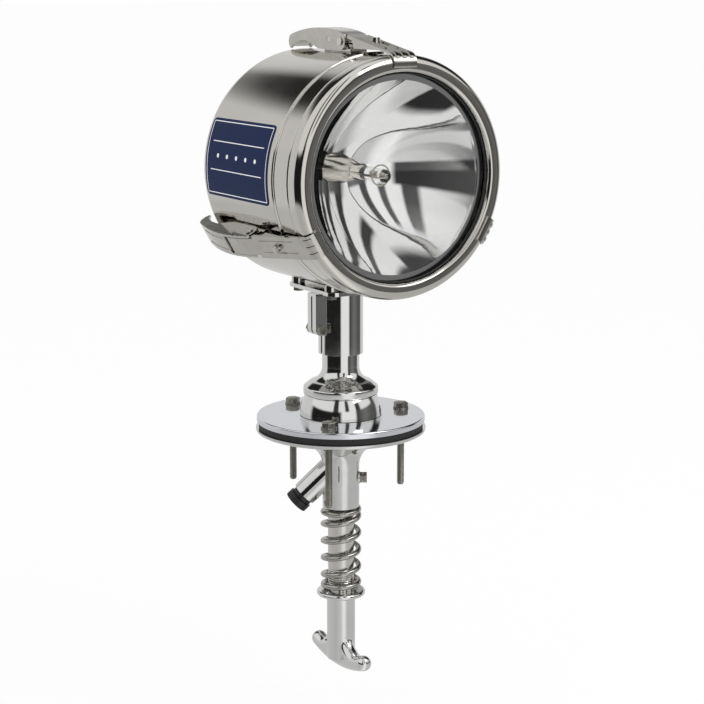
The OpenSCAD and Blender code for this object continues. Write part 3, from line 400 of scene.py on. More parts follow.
def arc(centre, radius, start, end, count=24):
    """Points of an arc in the plane of radius and height, in millimetres and degrees."""
    angles = [math.radians(start + (end - start) * i / count) for i in range(count + 1)]
    return [(centre[0] + radius * math.cos(a), centre[1] + radius * math.sin(a)) for a in angles]


def turned(outline, steps=TURN_STEPS, closed=True, place=Matrix.Identity(4)):
    """A solid of revolution about the upright axis from points of radius and height in millimetres.

    An outline that isn't closed starts and ends on the axis.
    """
    bm = bmesh.new()
    points = [bm.verts.new((r * MM, 0, z * MM)) for r, z in outline]
    for a, b in zip(points, points[1:] + points[:1] if closed else points[1:]):
        bm.edges.new((a, b))
    bmesh.ops.spin(bm, geom=bm.verts[:] + bm.edges[:], cent=(0, 0, 0), axis=(0, 0, 1), angle=FULL_TURN,
                   steps=steps, use_merge=True)
    bmesh.ops.remove_doubles(bm, verts=bm.verts, dist=MERGE_DIST)
    bmesh.ops.recalc_face_normals(bm, faces=bm.faces)
    bmesh.ops.transform(bm, matrix=place, verts=bm.verts)
    return bm


def cap(bm, loop):
    """Close a loop of edges with one face."""
    bmesh.ops.contextual_create(bm, geom=[e for e in loop if isinstance(e, bmesh.types.BMEdge)])


def coil(bm, loop, runs, steps_per_turn):
    """Sweep a closed loop about the upright axis through runs of turns and rise, and cap both ends."""
    cap(bm, loop)
    for turns, rise in runs:
        steps = round(turns * steps_per_turn)
        swept = bmesh.ops.spin(bm, geom=loop, cent=(0, 0, 0), axis=(0, 0, 1), angle=turns * FULL_TURN,
                               steps=steps, dvec=(0, 0, rise / steps))
        loop = swept["geom_last"]
    cap(bm, loop)
    bmesh.ops.recalc_face_normals(bm, faces=bm.faces)


def wire_start(wire_r, sides, coil_r, level):
    """A bmesh with the round section of a wire, where its coil starts."""
    bm = bmesh.new()
    bmesh.ops.create_circle(bm, segments=sides, radius=wire_r)
    start = Matrix.Translation((coil_r, 0, level)) @ LAY_FORWARD
    bmesh.ops.transform(bm, matrix=start, verts=bm.verts)
    return bm


# Spring, thread and bolts

SPRING_WIRE = 5.7 * MM
SPRING_COILS = 4
SPRING_SIDES = 20
SPRING_STEPS = 48


def spring_piece():
    """The balance spring: a closed coil at each end and open coils between; the real spring shortens with the
    handle, but this coil is built at one length.
    """
    low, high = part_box("balance_spring")
    length = high.z - low.z
    mean_r = (high.x - low.x - SPRING_WIRE) / 2
    open_rise = length - 3 * SPRING_WIRE
    closed_coil = (1, SPRING_WIRE)
    bm = wire_start(SPRING_WIRE / 2, SPRING_SIDES, mean_r, low.z + SPRING_WIRE / 2)
    coil(bm, bm.verts[:] + bm.edges[:], [closed_coil, (SPRING_COILS, open_rise), closed_coil], SPRING_STEPS)
    piece = settle("balance_spring_coil", bm, "balance_spring", angle=WIRE_ANGLE)
    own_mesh(piece)


# Half widths of a thread's ridge at its root and crest, as shares of the pitch
ROOT_HALF = 0.46
CREST_HALF = 0.06
RIDGE_STEPS = 24


def thread_ridge(bm, root_r, crest_r, pitch, bottom, top, place=Matrix.Identity(4)):
    """A helical ridge of nearly triangular section round a core."""
    turns = int((top - bottom) / pitch) - 1
    half = pitch * ROOT_HALF
    first = bottom + pitch
    profile = [(root_r, first - half), (crest_r, first - pitch * CREST_HALF),
               (crest_r, first + pitch * CREST_HALF), (root_r, first + half)]
    ridge = bmesh.new()
    points = [ridge.verts.new((r, 0, z)) for r, z in profile]
    for a, b in zip(points, points[1:] + points[:1]):
        ridge.edges.new((a, b))
    coil(ridge, ridge.verts[:] + ridge.edges[:], [(turns, turns * pitch)], RIDGE_STEPS)
    join_into(bm, ridge, place)


BUSH_WALL = 2.0 * MM
STEM_PITCH = 1.9 * MM
# Depths of the stem thread's root and crest under the stem's face, and its ends above the collar
STEM_ROOT_IN = 0.62 * MM
STEM_CREST_IN = 0.02 * MM
STEM_THREAD_ENDS = (0.2 * MM, 23.5 * MM)


def stem_thread_piece():
    """The thread on the stem that the spring collar is set on."""
    collar_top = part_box("spring_collar")[1].z
    stem_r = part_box("lower_guide_bush")[1].x - BUSH_WALL
    bottom, top = (collar_top + end for end in STEM_THREAD_ENDS)
    bm = bmesh.new()
    thread_ridge(bm, stem_r - STEM_ROOT_IN, stem_r - STEM_CREST_IN, STEM_PITCH, bottom, top)
    settle("stem_thread", bm, "control_stem", stands_for=False)


BOLT_PITCH = 1.25 * MM
BOLT_ROOT = 3.3 * MM
BOLT_CREST = 3.74 * MM
BOLT_POINT = 0.9
BOLT_STEPS = 40
BOLT_ANGLE = math.radians(28)
FIRST_BOLT = math.radians(-12)
# Heights in millimetres, from the roof face, between which the thread's root runs out into the shank
RUN_OUT = (-0.8, -0.2)
RIDGE_SINK = 0.02 * MM
RIDGE_BOTTOM = 0.2 * MM
RIDGE_TOP = -0.3 * MM
HEAD_FLATS = 13 * MM
HEAD_HEIGHT = 5.3 * MM
HEAD_CROWN = 0.9 * MM
HEAD_OVERLAP = 0.5
# Turn of each head from the one before, in radians, as tightening leaves them
HEAD_TURN = 0.35
CROWN_STEPS = 4
CORNER_STEPS = 3
CORNER_SHARE = 0.4
UPRIGHT_SHARE = 0.4


def hexagon_head(flats, height, crown):
    """A forged hexagon head: six flats, a rounded crown and softened corners."""
    bm = bmesh.new()
    corner_r = flats / math.sqrt(3)
    bmesh.ops.create_cone(bm, cap_ends=True, segments=6, radius1=corner_r, radius2=corner_r, depth=height)
    top = [e for e in bm.edges if all(v.co.z > 0 for v in e.verts)]
    bmesh.ops.bevel(bm, geom=top, offset=crown, offset_type="OFFSET", segments=CROWN_STEPS, profile=0.5,
                    affect="EDGES", clamp_overlap=True, material=-1)
    sides = [e for e in bm.edges if abs(e.verts[0].co.z - e.verts[1].co.z) > height * UPRIGHT_SHARE]
    bmesh.ops.bevel(bm, geom=sides, offset=crown * CORNER_SHARE, offset_type="OFFSET", segments=CORNER_STEPS,
                    profile=0.5, affect="EDGES", clamp_overlap=True, material=-1)
    return bm


def deck_bolt_piece():
    """Three roof bolts with rolled threads below the roof face."""
    low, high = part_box("deck_bolts")
    pattern = next(m for m in frame["record"]["mounts"] if m["name"] == "deck_bolts")["dims"]
    circle_r = pattern["pcd_mm"] * MM / 2
    head_low = high.z - HEAD_HEIGHT
    lift = Matrix.Translation((0, 0, head_low + HEAD_HEIGHT / 2))
    root, crest = BOLT_ROOT / MM, BOLT_CREST / MM
    bottom = low.z / MM
    top = head_low / MM + HEAD_OVERLAP
    outline = [(0, bottom), (root - BOLT_POINT, bottom), (root, bottom + BOLT_POINT), (root, RUN_OUT[0]),
               (crest, RUN_OUT[1]), (crest, top), (0, top)]
    whole = bmesh.new()
    for i in range(pattern["count"]):
        angle = FIRST_BOLT + FULL_TURN * i / pattern["count"]
        stand = Matrix.Translation((circle_r * math.cos(angle), circle_r * math.sin(angle), 0))
        turn = Matrix.Rotation(angle + HEAD_TURN * i, 4, "Z")
        join_into(whole, hexagon_head(HEAD_FLATS, HEAD_HEIGHT, HEAD_CROWN), stand @ turn @ lift)
        join_into(whole, turned(outline, steps=BOLT_STEPS, closed=False), stand)
        thread_ridge(whole, BOLT_ROOT - RIDGE_SINK, BOLT_CREST, BOLT_PITCH, low.z + RIDGE_BOTTOM, RIDGE_TOP,
                     stand)
    settle("deck_bolts_threaded", whole, "deck_bolts", angle=BOLT_ANGLE)


# Turned showpieces, in millimetres

def bell_piece():
    """The bell and neck in one smooth sweep."""
    ball_low, ball_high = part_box("turret_ball")
    ball_r = (ball_high.x - ball_low.x) / 2 / MM
    low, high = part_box("bell_neck")
    base = tilt_z / MM
    top = high.z / MM
    rim_r = (high.x - low.x) / 2 / MM
    edge_z = low.z / MM
    rim_height = 6.3
    rim_round = 2.2
    rim_z = edge_z + rim_height
    rim_rise = 0.6
    lip_round = 1.6
    lip_rise = 1.8
    neck_r = 19.0
    neck_chamfer = 1
    flare_r = 15.3
    flare_rise = 8
    flare_z = base + ball_r + flare_rise
    bore_r = 8.05
    ball_gap = 0.35
    inner_r = ball_r + ball_gap
    start = math.degrees(math.asin((edge_z - base) / inner_r))
    end = math.degrees(math.acos(bore_r / inner_r))
    outline = (arc((0, base), inner_r, start, end, 32)
               + [(bore_r, top - neck_chamfer), (bore_r + neck_chamfer, top)]
               + [(neck_r - neck_chamfer, top), (neck_r, top - neck_chamfer)]
               + arc((neck_r + flare_r, flare_z), flare_r, 180, 258, 40)
               + arc((rim_r - rim_round, rim_z + rim_rise), rim_round, 62, 0, 12)
               + arc((rim_r - lip_round, edge_z + lip_rise), lip_round, 0, -70, 10))
    settle("bell_neck_turned", turned(outline), "bell_neck", angle=math.radians(50))


def front_ring_piece():
    """The rounded front ring and its inner lip."""
    outer = drum_r / MM
    front = ring_front / MM
    back = -ring_high.y / MM
    lens_cover = 1.5
    lip_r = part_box("lamp_lens")[1].x / MM - lens_cover
    seat_r = lip_r + 2.5
    round_r = 9.0
    chamfer = 1.2
    lip_round = 3.9
    lip_centre = (lip_r + 4.2, front - 4.0)
    lip_start = front - 5
    lip_back = front - 6
    outline = ([(seat_r, back), (outer - chamfer, back)]
               + arc((outer - chamfer, back + chamfer), chamfer, -60, 0, 6)
               + arc((outer - round_r, front - round_r), round_r, 0, 90, 40)
               + arc(lip_centre, lip_round, 95, 172, 16)
               + [(lip_r, lip_start), (lip_r, lip_back), (seat_r, lip_back)])
    settle("front_ring_turned", turned(outline, place=BEAM), "front_ring", angle=TURNED_ANGLE)


DRUM_WALL = 2.0
PAD_ACROSS = (-23, 23)
PAD_ALONG = (-20, 45)
PAD_R = 7
PAD_CHAMFER = 0.6
PAD_SINK = 1.2
PAD_STEPS = 48


def drum_outline(wall):
    """The spun drum's outside, or its inside at a wall's depth, as radius and forward distance."""
    outer = drum_r / MM
    edge_r = 13.0
    crown = 3.0
    dish_steps = 12
    flat_r = outer - edge_r
    low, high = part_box("drum_housing")
    back = -high.y / MM
    front = -low.y / MM
    dish = [(flat_r * i / dish_steps, back + wall + crown * (i / dish_steps) ** 2) for i in range(dish_steps)]
    return dish + arc((flat_r, back + crown + edge_r), edge_r - wall, -90, 0, 20) + [(outer - wall, front)]


def drum_piece():
    """The spun drum with its crowned back, and the four pads that the saddle is bolted to."""
    shell = turned(drum_outline(0) + drum_outline(DRUM_WALL)[::-1], closed=False, place=BEAM)
    pad_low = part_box("clamp_saddle")[1].z / MM
    for x in PAD_ACROSS:
        depth = math.sqrt((drum_r - DRUM_WALL * MM) ** 2 - (abs(x) * MM) ** 2)
        pad_high = (head_z - depth) / MM + PAD_SINK
        for y in PAD_ALONG:
            pad = turned([(0, pad_low), (PAD_R - PAD_CHAMFER, pad_low), (PAD_R, pad_low + PAD_CHAMFER),
                          (PAD_R, pad_high), (0, pad_high)], steps=PAD_STEPS, closed=False)
            join_into(shell, pad, Matrix.Translation((x * MM, y * MM, 0)))
    settle("drum_housing_spun", shell, "drum_housing", angle=TURNED_ANGLE)


def lens_piece():
    """The crowned front glass."""
    low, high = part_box("lamp_lens")
    rim_r = high.x / MM
    front = -low.y / MM
    crown = 6.0
    crown_r = rim_r - 8.5
    crown_steps = 40
    thick = 5.0
    chamfer = 0.8
    face = front - crown
    shares = [1 - i / crown_steps for i in range(crown_steps + 1)]
    outer = [(crown_r * share, face + crown * (1 - share ** 2)) for share in shares]
    inner = [(r, z - thick) for r, z in outer[::-1]]
    rim = [(rim_r - chamfer, face - thick), (rim_r, face - thick + chamfer), (rim_r, face - chamfer),
           (rim_r - chamfer, face)]
    settle("lamp_lens_pressed", turned(rim + outer + inner, place=BEAM), "lamp_lens", angle=TURNED_ANGLE)


def mirror_piece():
    """The parabolic bowl with its rim and neck."""
    low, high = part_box("lamp_mirror")
    rim_r = high.x / MM
    rim = -low.y / MM
    back = -high.y / MM
    rim_width = 9.0
    rim_thick = 2.9
    mouth_r = rim_r - rim_width
    neck_length = 10.0
    depth = rim - back - neck_length
    vertex = rim - depth
    wall = 3.5
    neck_wall = 4
    base_flange = 3.0
    base_gap = 0.05
    hole_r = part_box("burner_base")[1].x / MM - base_flange + base_gap
    bowl_steps = 72
    radii = [hole_r + (mouth_r - hole_r) * i / bowl_steps for i in range(bowl_steps + 1)]
    inside = [(r, vertex + depth * (r / mouth_r) ** 2) for r in radii]
    outside = [(r, z - wall) for r, z in inside if r > hole_r + neck_wall and z - wall < rim - rim_thick]
    outline = (inside + [(rim_r, rim), (rim_r, rim - rim_thick)] + outside[::-1]
               + [(hole_r + neck_wall, vertex - wall), (hole_r + neck_wall, back), (hole_r, back)])
    settle("lamp_mirror_pressed", turned(outline, place=BEAM), "lamp_mirror", angle=math.radians(30))


# Handle

GRIP_R = 8.0 * MM
GRIP_RISE = 8.0 * MM
GRIP_SIDES = 32
GRIP_STEPS = 40
TIP_RINGS = 20
SHANK_STEPS = 64
SHANK_OVER = 0.6
# What the polish takes off, which the shapes start with in hand
POLISH_LOSS = 0.25 * MM
POLISH_ROUNDS = 30
POLISH_SHARE = 0.5
VOXEL = 0.75 * MM
# The bends that run from shank to grip: their radius, and how far from the axis they start
SWEEP_R = 27 * MM
SWEEP_IN = 5 * MM
SWEEP_LIFT = 0.5 * MM
SWEEP_STEPS = 24


def handle_piece():
    """The cast T-handle: shank, grip and their bends, run together and smoothed as a polished casting."""
    low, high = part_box("handle")
    shank_r = (high.x - low.x) / 2 + POLISH_LOSS
    grip_r = GRIP_R + POLISH_LOSS
    half = (high.y - low.y) / 2 - grip_r
    bend_r = (half ** 2 + GRIP_RISE ** 2) / (2 * GRIP_RISE)
    grip_z = low.z + grip_r
    bend_centre = (0, 0, grip_z + bend_r)
    swing = math.asin(half / bend_r)
    bm = bmesh.new()
    bmesh.ops.create_circle(bm, segments=GRIP_SIDES, radius=grip_r)
    bmesh.ops.transform(bm, matrix=Matrix.Translation((0, 0, grip_z)) @ LAY_FORWARD, verts=bm.verts)
    bmesh.ops.rotate(bm, cent=bend_centre, matrix=Matrix.Rotation(-swing, 3, "X"), verts=bm.verts)
    loop = bm.verts[:] + bm.edges[:]
    cap(bm, loop)
    swept = bmesh.ops.spin(bm, geom=loop, cent=bend_centre, axis=(1, 0, 0), angle=2 * swing, steps=GRIP_STEPS)
    cap(bm, swept["geom_last"])
    bmesh.ops.recalc_face_normals(bm, faces=bm.faces)
    for side in (-1, 1):
        tip = bmesh.new()
        bmesh.ops.create_uvsphere(tip, u_segments=GRIP_SIDES, v_segments=TIP_RINGS, radius=grip_r)
        join_into(bm, tip, Matrix.Translation((0, side * half, grip_z + GRIP_RISE)))
    shank_low = grip_z / MM
    shank_top = high.z / MM + SHANK_OVER
    shank = [(0, shank_low), (shank_r / MM, shank_low), (shank_r / MM, shank_top), (0, shank_top)]
    join_into(bm, turned(shank, steps=SHANK_STEPS, closed=False))
    sweep_out = SWEEP_IN + SWEEP_R
    sweep_top = grip_z + bend_r - math.sqrt(bend_r ** 2 - sweep_out ** 2) + SWEEP_R + SWEEP_LIFT
    for side in (-1, 1):
        sweep = bmesh.new()
        bmesh.ops.create_circle(sweep, segments=GRIP_SIDES, radius=grip_r, cap_ends=True)
        bmesh.ops.translate(sweep, vec=(0, side * SWEEP_IN, sweep_top), verts=sweep.verts)
        swept = bmesh.ops.spin(sweep, geom=sweep.verts[:] + sweep.edges[:],
                               cent=(0, side * sweep_out, sweep_top), axis=(1, 0, 0),
                               angle=side * math.pi / 2, steps=SWEEP_STEPS)
        cap(sweep, swept["geom_last"])
        bmesh.ops.recalc_face_normals(sweep, faces=sweep.faces)
        join_into(bm, sweep)
    piece = settle("handle_cast", bm, "handle", angle=math.pi)
    remesh = piece.modifiers.new("run_together", "REMESH")
    remesh.mode = "VOXEL"
    remesh.voxel_size = VOXEL
    remesh.use_smooth_shade = True
    polish = piece.modifiers.new("polish", "SMOOTH")
    polish.factor = POLISH_SHARE
    polish.iterations = POLISH_ROUNDS
    keep_modified(piece)


# Side plate and filament

PLATE_ANGLES = (64, 102)
PLATE_REAR = 65.5 * MM
PLATE_FRONT = -58.5 * MM
PLATE_THICK = 0.5 * MM
PLATE_CORNER = 5 * MM
CORNER_CUTS = 6
BEND_STEP = 2 * MM


def wrapped_strip(width, height, corner, lift, thick, centre=(0, 0)):
    """A thin rounded strip bent round the drum: width along it and height round it.

    centre is its place from the plate's middle.
    """
    bm = bmesh.new()
    bmesh.ops.create_grid(bm, x_segments=1, y_segments=1, size=0.5)
    bmesh.ops.scale(bm, vec=(width, height, 1), verts=bm.verts)
    bmesh.ops.bevel(bm, geom=bm.verts[:], offset=corner, offset_type="OFFSET", segments=CORNER_CUTS,
                    profile=0.5, affect="VERTICES", material=-1)
    bmesh.ops.translate(bm, vec=(*centre, 0), verts=bm.verts)
    cuts = max(2, int(height / BEND_STEP))
    for i in range(1, cuts):
        level = centre[1] + height * (i / cuts - 0.5)
        bmesh.ops.bisect_plane(bm, geom=bm.verts[:] + bm.edges[:] + bm.faces[:], plane_co=(0, level, 0),
                               plane_no=(0, 1, 0))
    raised = bmesh.ops.extrude_face_region(bm, geom=bm.faces[:])
    top = [v for v in raised["geom"] if isinstance(v, bmesh.types.BMVert)]
    bmesh.ops.translate(bm, vec=(0, 0, thick), verts=top)
    bmesh.ops.recalc_face_normals(bm, faces=bm.faces)
    middle = math.radians(sum(PLATE_ANGLES) / 2)
    mid_y = (PLATE_REAR + PLATE_FRONT) / 2
    for v in bm.verts:
        angle = middle - v.co.y / drum_r
        radius = drum_r + lift + v.co.z
        v.co = Vector((-radius * math.sin(angle), mid_y - v.co.x, head_z + radius * math.cos(angle)))
    bmesh.ops.recalc_face_normals(bm, faces=bm.faces)
    return bm


MARK_THICK = 0.06 * MM
LINE = 0.9 * MM
LINE_CORNER = LINE * 0.3
BORDER_INSET = 3.2 * MM
# Heights of the two rules as shares of the plate's, and their length as a share of its width
RULE_LEVELS = (0.2, -0.16)
RULE_SHARE = 0.82
DOT = 4.2 * MM
DOT_CORNER = DOT * 0.46
DOT_COUNT = 5
DOT_STEP = 0.15
DOT_LEVEL = 0.02


def side_plate():
    """A bare enamelled plate on the drum's side with a plain border, rules and a row of dots."""
    width = PLATE_REAR - PLATE_FRONT
    height = math.radians(PLATE_ANGLES[1] - PLATE_ANGLES[0]) * drum_r
    plate = wrapped_strip(width, height, PLATE_CORNER, 0, PLATE_THICK)
    settle("side_plate", plate, "drum_housing", navy_enamel(), stands_for=False)
    border_width = width - 2 * BORDER_INSET
    border_height = height - 2 * BORDER_INSET
    marks = []
    for side in (-1, 1):
        marks.append((border_width, LINE, LINE_CORNER, (0, side * (height / 2 - BORDER_INSET))))
        marks.append((LINE, border_height, LINE_CORNER, (side * (width / 2 - BORDER_INSET), 0)))
    for level in RULE_LEVELS:
        marks.append((width * RULE_SHARE, LINE, LINE_CORNER, (0, height * level)))
    for i in range(DOT_COUNT):
        across = width * (i - DOT_COUNT // 2) * DOT_STEP
        marks.append((DOT, DOT, DOT_CORNER, (across, height * DOT_LEVEL)))
    screened = bmesh.new()
    for long, high, corner, centre in marks:
        join_into(screened, wrapped_strip(long, high, corner, PLATE_THICK, MARK_THICK, centre))
    settle("side_plate_marks", screened, "drum_housing", white_enamel(), stands_for=False)


FILAMENT_R = 0.35 * MM
FILAMENT_COIL_R = 1.5 * MM
FILAMENT_PITCH = 1.1 * MM
FILAMENT_TURNS = 12
FILAMENT_SIDES = 8
FILAMENT_STEPS = 20


def filament_piece():
    """The coiled tungsten filament on the lamp's axis."""
    low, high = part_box("burner_capsule")
    length = FILAMENT_TURNS * FILAMENT_PITCH
    bm = wire_start(FILAMENT_R, FILAMENT_SIDES, FILAMENT_COIL_R, -length / 2)
    coil(bm, bm.verts[:] + bm.edges[:], [(FILAMENT_TURNS, length)], FILAMENT_STEPS)
    place = Matrix.Translation((0, (low.y + high.y) / 2, head_z)) @ LAY_FORWARD
    bmesh.ops.transform(bm, matrix=place, verts=bm.verts)
    settle("lamp_filament", bm, "burner_capsule", FINISH["burner_metal"], stands_for=False, angle=WIRE_ANGLE)


# Nodes that keep their own shape, with the width of their broken edges in millimetres
EASED = {
    "deck_flange": 0.7, "roof_gasket": 0.6, "counter_flange": 0.8, "bolt_washers": 0.3, "brake_screw": 0.35,
    "brake_locknut": 0.35, "gland_body": 0.5, "gland_nut": 0.3, "spring_collar": 0.3, "control_stem": 0.4,
    "clamp_saddle": 0.7, "clamp_screw": 0.3, "clamp_nut": 0.35, "saddle_bolts": 0.4, "neck_screw": 0.25,
    "front_collar": 0.3, "front_seal": 0.3, "lamp_gasket": 0.25, "lamp_retainer": 0.3, "burner_base": 0.5,
    "lamp_terminals": 0.2, "latch_brackets": 0.5, "fulcrum_pins": 0.3,
}
for side in ("top", "right", "left"):
    EASED[f"latch_lever_{side}"] = 0.6
    EASED[f"latch_strap_{side}"] = 0.6
    EASED[f"link_pin_{side}"] = 0.3

for node, edge in EASED.items():
    eased_copy(node, edge)
spring_piece()
stem_thread_piece()
deck_bolt_piece()
bell_piece()
front_ring_piece()
drum_piece()
lens_piece()
mirror_piece()
handle_piece()
side_plate()
filament_piece()
for name, cad in nodes.items():
    cad.data.materials.clear()
    cad.data.materials.append(finish_of(name))


# Studio: a pale floor, a white surround with dark cards towards the camera, and one soft lamp

CAMERA_PLACE = Vector((-0.9497, -1.5497, 0.4530))
CAMERA_TARGET = Vector((0.00977, -0.00607, 0.0770))
CAMERA_LENS = 93.26
CAMERA_SENSOR = 36
CAMERA_REACH = 200


def look(thing, target):
    """Turn a camera or lamp towards a point."""
    thing.rotation_euler = (target - thing.location).to_track_quat("-Z", "Y").to_euler()


def camera():
    """The photograph's viewpoint."""
    lens = bpy.data.cameras.new("camera")
    lens.lens = CAMERA_LENS
    lens.sensor_width = CAMERA_SENSOR
    lens.clip_end = CAMERA_REACH
    eye = bpy.data.objects.new("camera", lens)
    eye.location = CAMERA_PLACE
    look(eye, CAMERA_TARGET)
    bpy.context.scene.collection.objects.link(eye)
    bpy.context.scene.camera = eye


# Brightness of the surround by degrees to the right of the line from the object to the camera:
# the cards and walls at eye level, and what stands over them
EYE_LEVEL = [(-180, 0.74), (-96, 0.74), (-86, 0.015), (-2, 0.015), (5, 1.0), (41, 1.0), (48, 0.05),
             (58, 0.12), (74, 0.20), (94, 0.12), (116, 0.10), (126, 0.74), (180, 0.74)]
OVER_CARDS = [(-180, 0.6), (-163, 0.6), (-155, 0.02), (-124, 0.02), (-112, 0.9), (-24, 0.9), (-20, 0.04),
              (-8, 0.04), (-5, 0.95), (12, 0.95), (15, 0.06), (23, 0.06), (27, 1.0), (44, 1.0), (47, 0.05),
              (58, 0.05), (63, 0.9), (100, 0.9), (112, 0.02), (155, 0.02), (163, 0.2), (180, 0.2)]
# Painted light on the floor that the metal sees: its glow by degrees to the right of the line to the camera,
# brightest where the bright card stands
FLOOR_PAINTED_LIGHT = [(-180, 0.66), (-100, 0.62), (-40, 0.55), (2, 0.7), (14, 1.0), (32, 1.0), (50, 0.6),
               (110, 0.6), (180, 0.66)]
SKY_COLOUR = [0.98 * 0.97, 0.98 * 0.985, 0.98, 1]
# Degrees of elevation over which the sky begins
SKY_EDGE = (64, 74)
# Degrees of elevation at which the cards and walls end, and half the width of that soft edge
TOP_EDGE = [(-180, 26), (-106, 26), (-98, 16), (104, 16), (112, 18.5), (180, 18.5)]
EDGE_BLUR = 3


def turn_share(tree, place):
    """A place's bearing as a share of a turn, with the camera's at a half, and its height."""
    facing = math.atan2(CAMERA_PLACE.x, -CAMERA_PLACE.y)
    swung = add(tree, "ShaderNodeVectorRotate", {"Vector": place, "Angle": -facing}, rotation_type="Z_AXIS")
    part = add(tree, "ShaderNodeSeparateXYZ", {"Vector": swung.outputs["Vector"]})
    ahead = add(tree, "ShaderNodeMath", {0: part.outputs["Y"], 1: -1.0}, operation="MULTIPLY")
    angle = add(tree, "ShaderNodeMath", {0: part.outputs["X"], 1: ahead.outputs["Value"]},
                operation="ARCTAN2")
    share = add(tree, "ShaderNodeMapRange",
                {"Value": angle.outputs["Value"], "From Min": -math.pi, "From Max": math.pi})
    return share.outputs["Result"], part.outputs["Z"]


def ramp(tree, share, stops):
    """A grey ramp from a share of a turn, with its stops in degrees from -180 to 180."""
    made = add(tree, "ShaderNodeValToRGB", {"Fac": share})
    marks = made.color_ramp.elements
    while len(marks) < len(stops):
        marks.new(0.5)
    for mark, (degrees, level) in zip(marks, stops):
        mark.position = (degrees + 180) / 360
        mark.color = (level, level, level, 1)
    return made.outputs["Color"]


def step(tree, height, edge):
    """0 below and 1 above a soft edge given as two elevations in degrees."""
    low, high = (math.sin(math.radians(angle)) for angle in edge)
    made = add(tree, "ShaderNodeMapRange", {"Value": height, "From Min": low, "From Max": high},
               interpolation_type="SMOOTHSTEP")
    return made.outputs["Result"]


FLOOR_DROP = 0.05
FLOOR_SIZE = 90
# Share of plain white in the floor that the camera sees; the rest takes the object's shadow
FLOOR_WHITE = 0.86
# Metres over which the sheet that the metal sees comes to its end
PAPER_EDGE = (1.6, 1.9)


def pale_floor():
    """A white floor with a faint shadow; the metal sees a round sheet of it glowing with painted light,
    brighter under the bright card, and the surround past that.
    """
    bm = bmesh.new()
    bmesh.ops.create_grid(bm, x_segments=1, y_segments=1, size=FLOOR_SIZE / 2)
    bmesh.ops.translate(bm, vec=(0, 0, cad_low.z - FLOOR_DROP), verts=bm.verts)
    mesh = bpy.data.meshes.new("floor")
    bm.to_mesh(mesh)
    bm.free()
    floor = bpy.data.objects.new("floor", mesh)
    bpy.context.scene.collection.objects.link(floor)
    paper, tree, shader = blank_material("floor_paper", Base_Color=linear("#f4f4f4"), Roughness=0.9)
    path = add(tree, "ShaderNodeLightPath").outputs
    bounced = add(tree, "ShaderNodeMath", {0: path["Is Glossy Ray"], 1: path["Is Transmission Ray"]},
                  operation="MAXIMUM")
    bright = add(tree, "ShaderNodeMath", {0: path["Is Camera Ray"], 1: FLOOR_WHITE}, operation="MULTIPLY")
    white = add(tree, "ShaderNodeEmission", {"Color": linear("#ffffff"), "Strength": 1.0})
    place = add(tree, "ShaderNodeNewGeometry").outputs["Position"]
    # Painted light: for glossy rays the floor glows by bearing instead of being lit
    level = ramp(tree, turn_share(tree, place)[0], FLOOR_PAINTED_LIGHT)
    grey = add(tree, "ShaderNodeEmission", {"Color": level, "Strength": 1.0})
    reach = add(tree, "ShaderNodeVectorMath", {0: place}, operation="LENGTH")
    edge = add(tree, "ShaderNodeMapRange",
               {"Value": reach.outputs["Value"], "From Min": PAPER_EDGE[0], "From Max": PAPER_EDGE[1]})
    clear = add(tree, "ShaderNodeBsdfTransparent")
    lit = add(tree, "ShaderNodeMixShader",
              {"Fac": bright.outputs["Value"], 1: shader.outputs["BSDF"], 2: white.outputs["Emission"]})
    mirrored = add(tree, "ShaderNodeMixShader",
                   {"Fac": edge.outputs["Result"], 1: grey.outputs["Emission"], 2: clear.outputs["BSDF"]})
    mix = add(tree, "ShaderNodeMixShader",
              {"Fac": bounced.outputs["Value"], 1: lit.outputs["Shader"], 2: mirrored.outputs["Shader"]})
    tree.links.new(mix.outputs["Shader"], tree.nodes["Material Output"].inputs["Surface"])
    mesh.materials.append(paper)


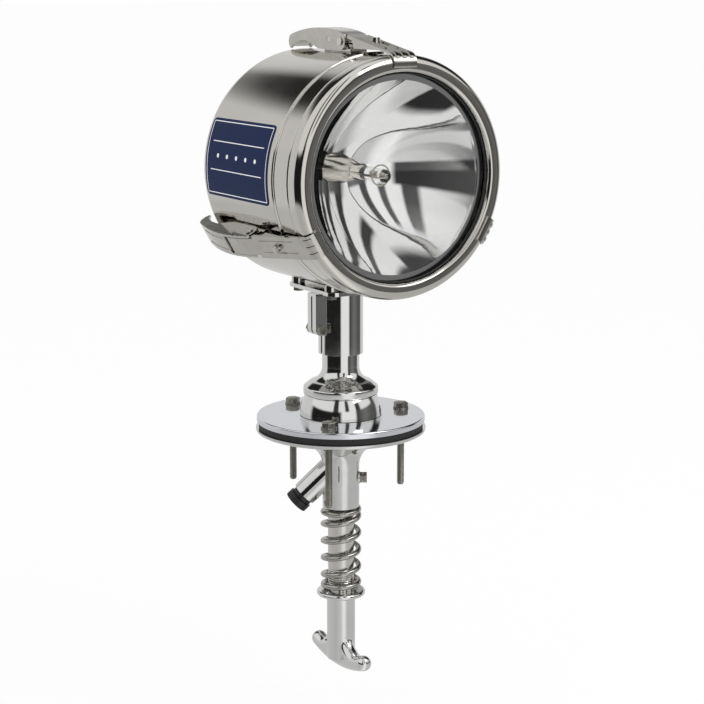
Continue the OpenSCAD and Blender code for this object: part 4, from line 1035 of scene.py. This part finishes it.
def surround():
    """White for the camera and for soft light; the metal and glass see walls, dark cards and sky."""
    world = bpy.data.worlds.new("surround")
    bpy.context.scene.world = world
    world.use_nodes = True
    tree = world.node_tree
    tree.nodes.clear()
    share, height = turn_share(tree, add(tree, "ShaderNodeTexCoord").outputs["Generated"])
    path = add(tree, "ShaderNodeLightPath").outputs
    plain = add(tree, "ShaderNodeMath", {0: path["Is Camera Ray"], 1: path["Is Diffuse Ray"]},
                operation="MAXIMUM")
    top = ramp(tree, share, [(degrees, math.sin(math.radians(rise))) for degrees, rise in TOP_EDGE])
    above = add(tree, "ShaderNodeMath", {0: height, 1: top}, operation="SUBTRACT")
    seen = ramp(tree, share, EYE_LEVEL)
    layers = [(step(tree, above.outputs["Value"], (-EDGE_BLUR, EDGE_BLUR)), ramp(tree, share, OVER_CARDS)),
              (step(tree, height, SKY_EDGE), SKY_COLOUR),
              (plain.outputs["Value"], linear("#ffffff"))]
    for factor, colour in layers:
        mix = add(tree, "ShaderNodeMix", {"Factor": factor}, data_type="RGBA")
        tree.links.new(seen, mix.inputs["A"])
        if isinstance(colour, bpy.types.NodeSocket):
            tree.links.new(colour, mix.inputs["B"])
        else:
            mix.inputs["B"].default_value = colour
        seen = mix.outputs["Result"]
    back = add(tree, "ShaderNodeBackground", {"Color": seen, "Strength": 1.0})
    out = add(tree, "ShaderNodeOutputWorld")
    tree.links.new(back.outputs["Background"], out.inputs["Surface"])


LAMP_SIZE = 0.9
LAMP_WATTS = 9
LAMP_PLACE = Vector((0.7, -1.3, 1.6))
LAMP_TARGET = Vector((0, 0, 0.1))


def soft_lamp():
    """One soft lamp above and to the right of the camera, for the shadow and the edges.

    Its square is kept out of what the bowl shows through the glass.
    """
    light = bpy.data.lights.new("soft_lamp", "AREA")
    light.size = LAMP_SIZE
    light.energy = LAMP_WATTS
    lamp = bpy.data.objects.new("soft_lamp", light)
    lamp.location = LAMP_PLACE
    lamp.visible_transmission = False
    look(lamp, LAMP_TARGET)
    bpy.context.scene.collection.objects.link(lamp)


camera()
pale_floor()
surround()
soft_lamp()
bpy.context.scene.view_settings.view_transform = "Standard"
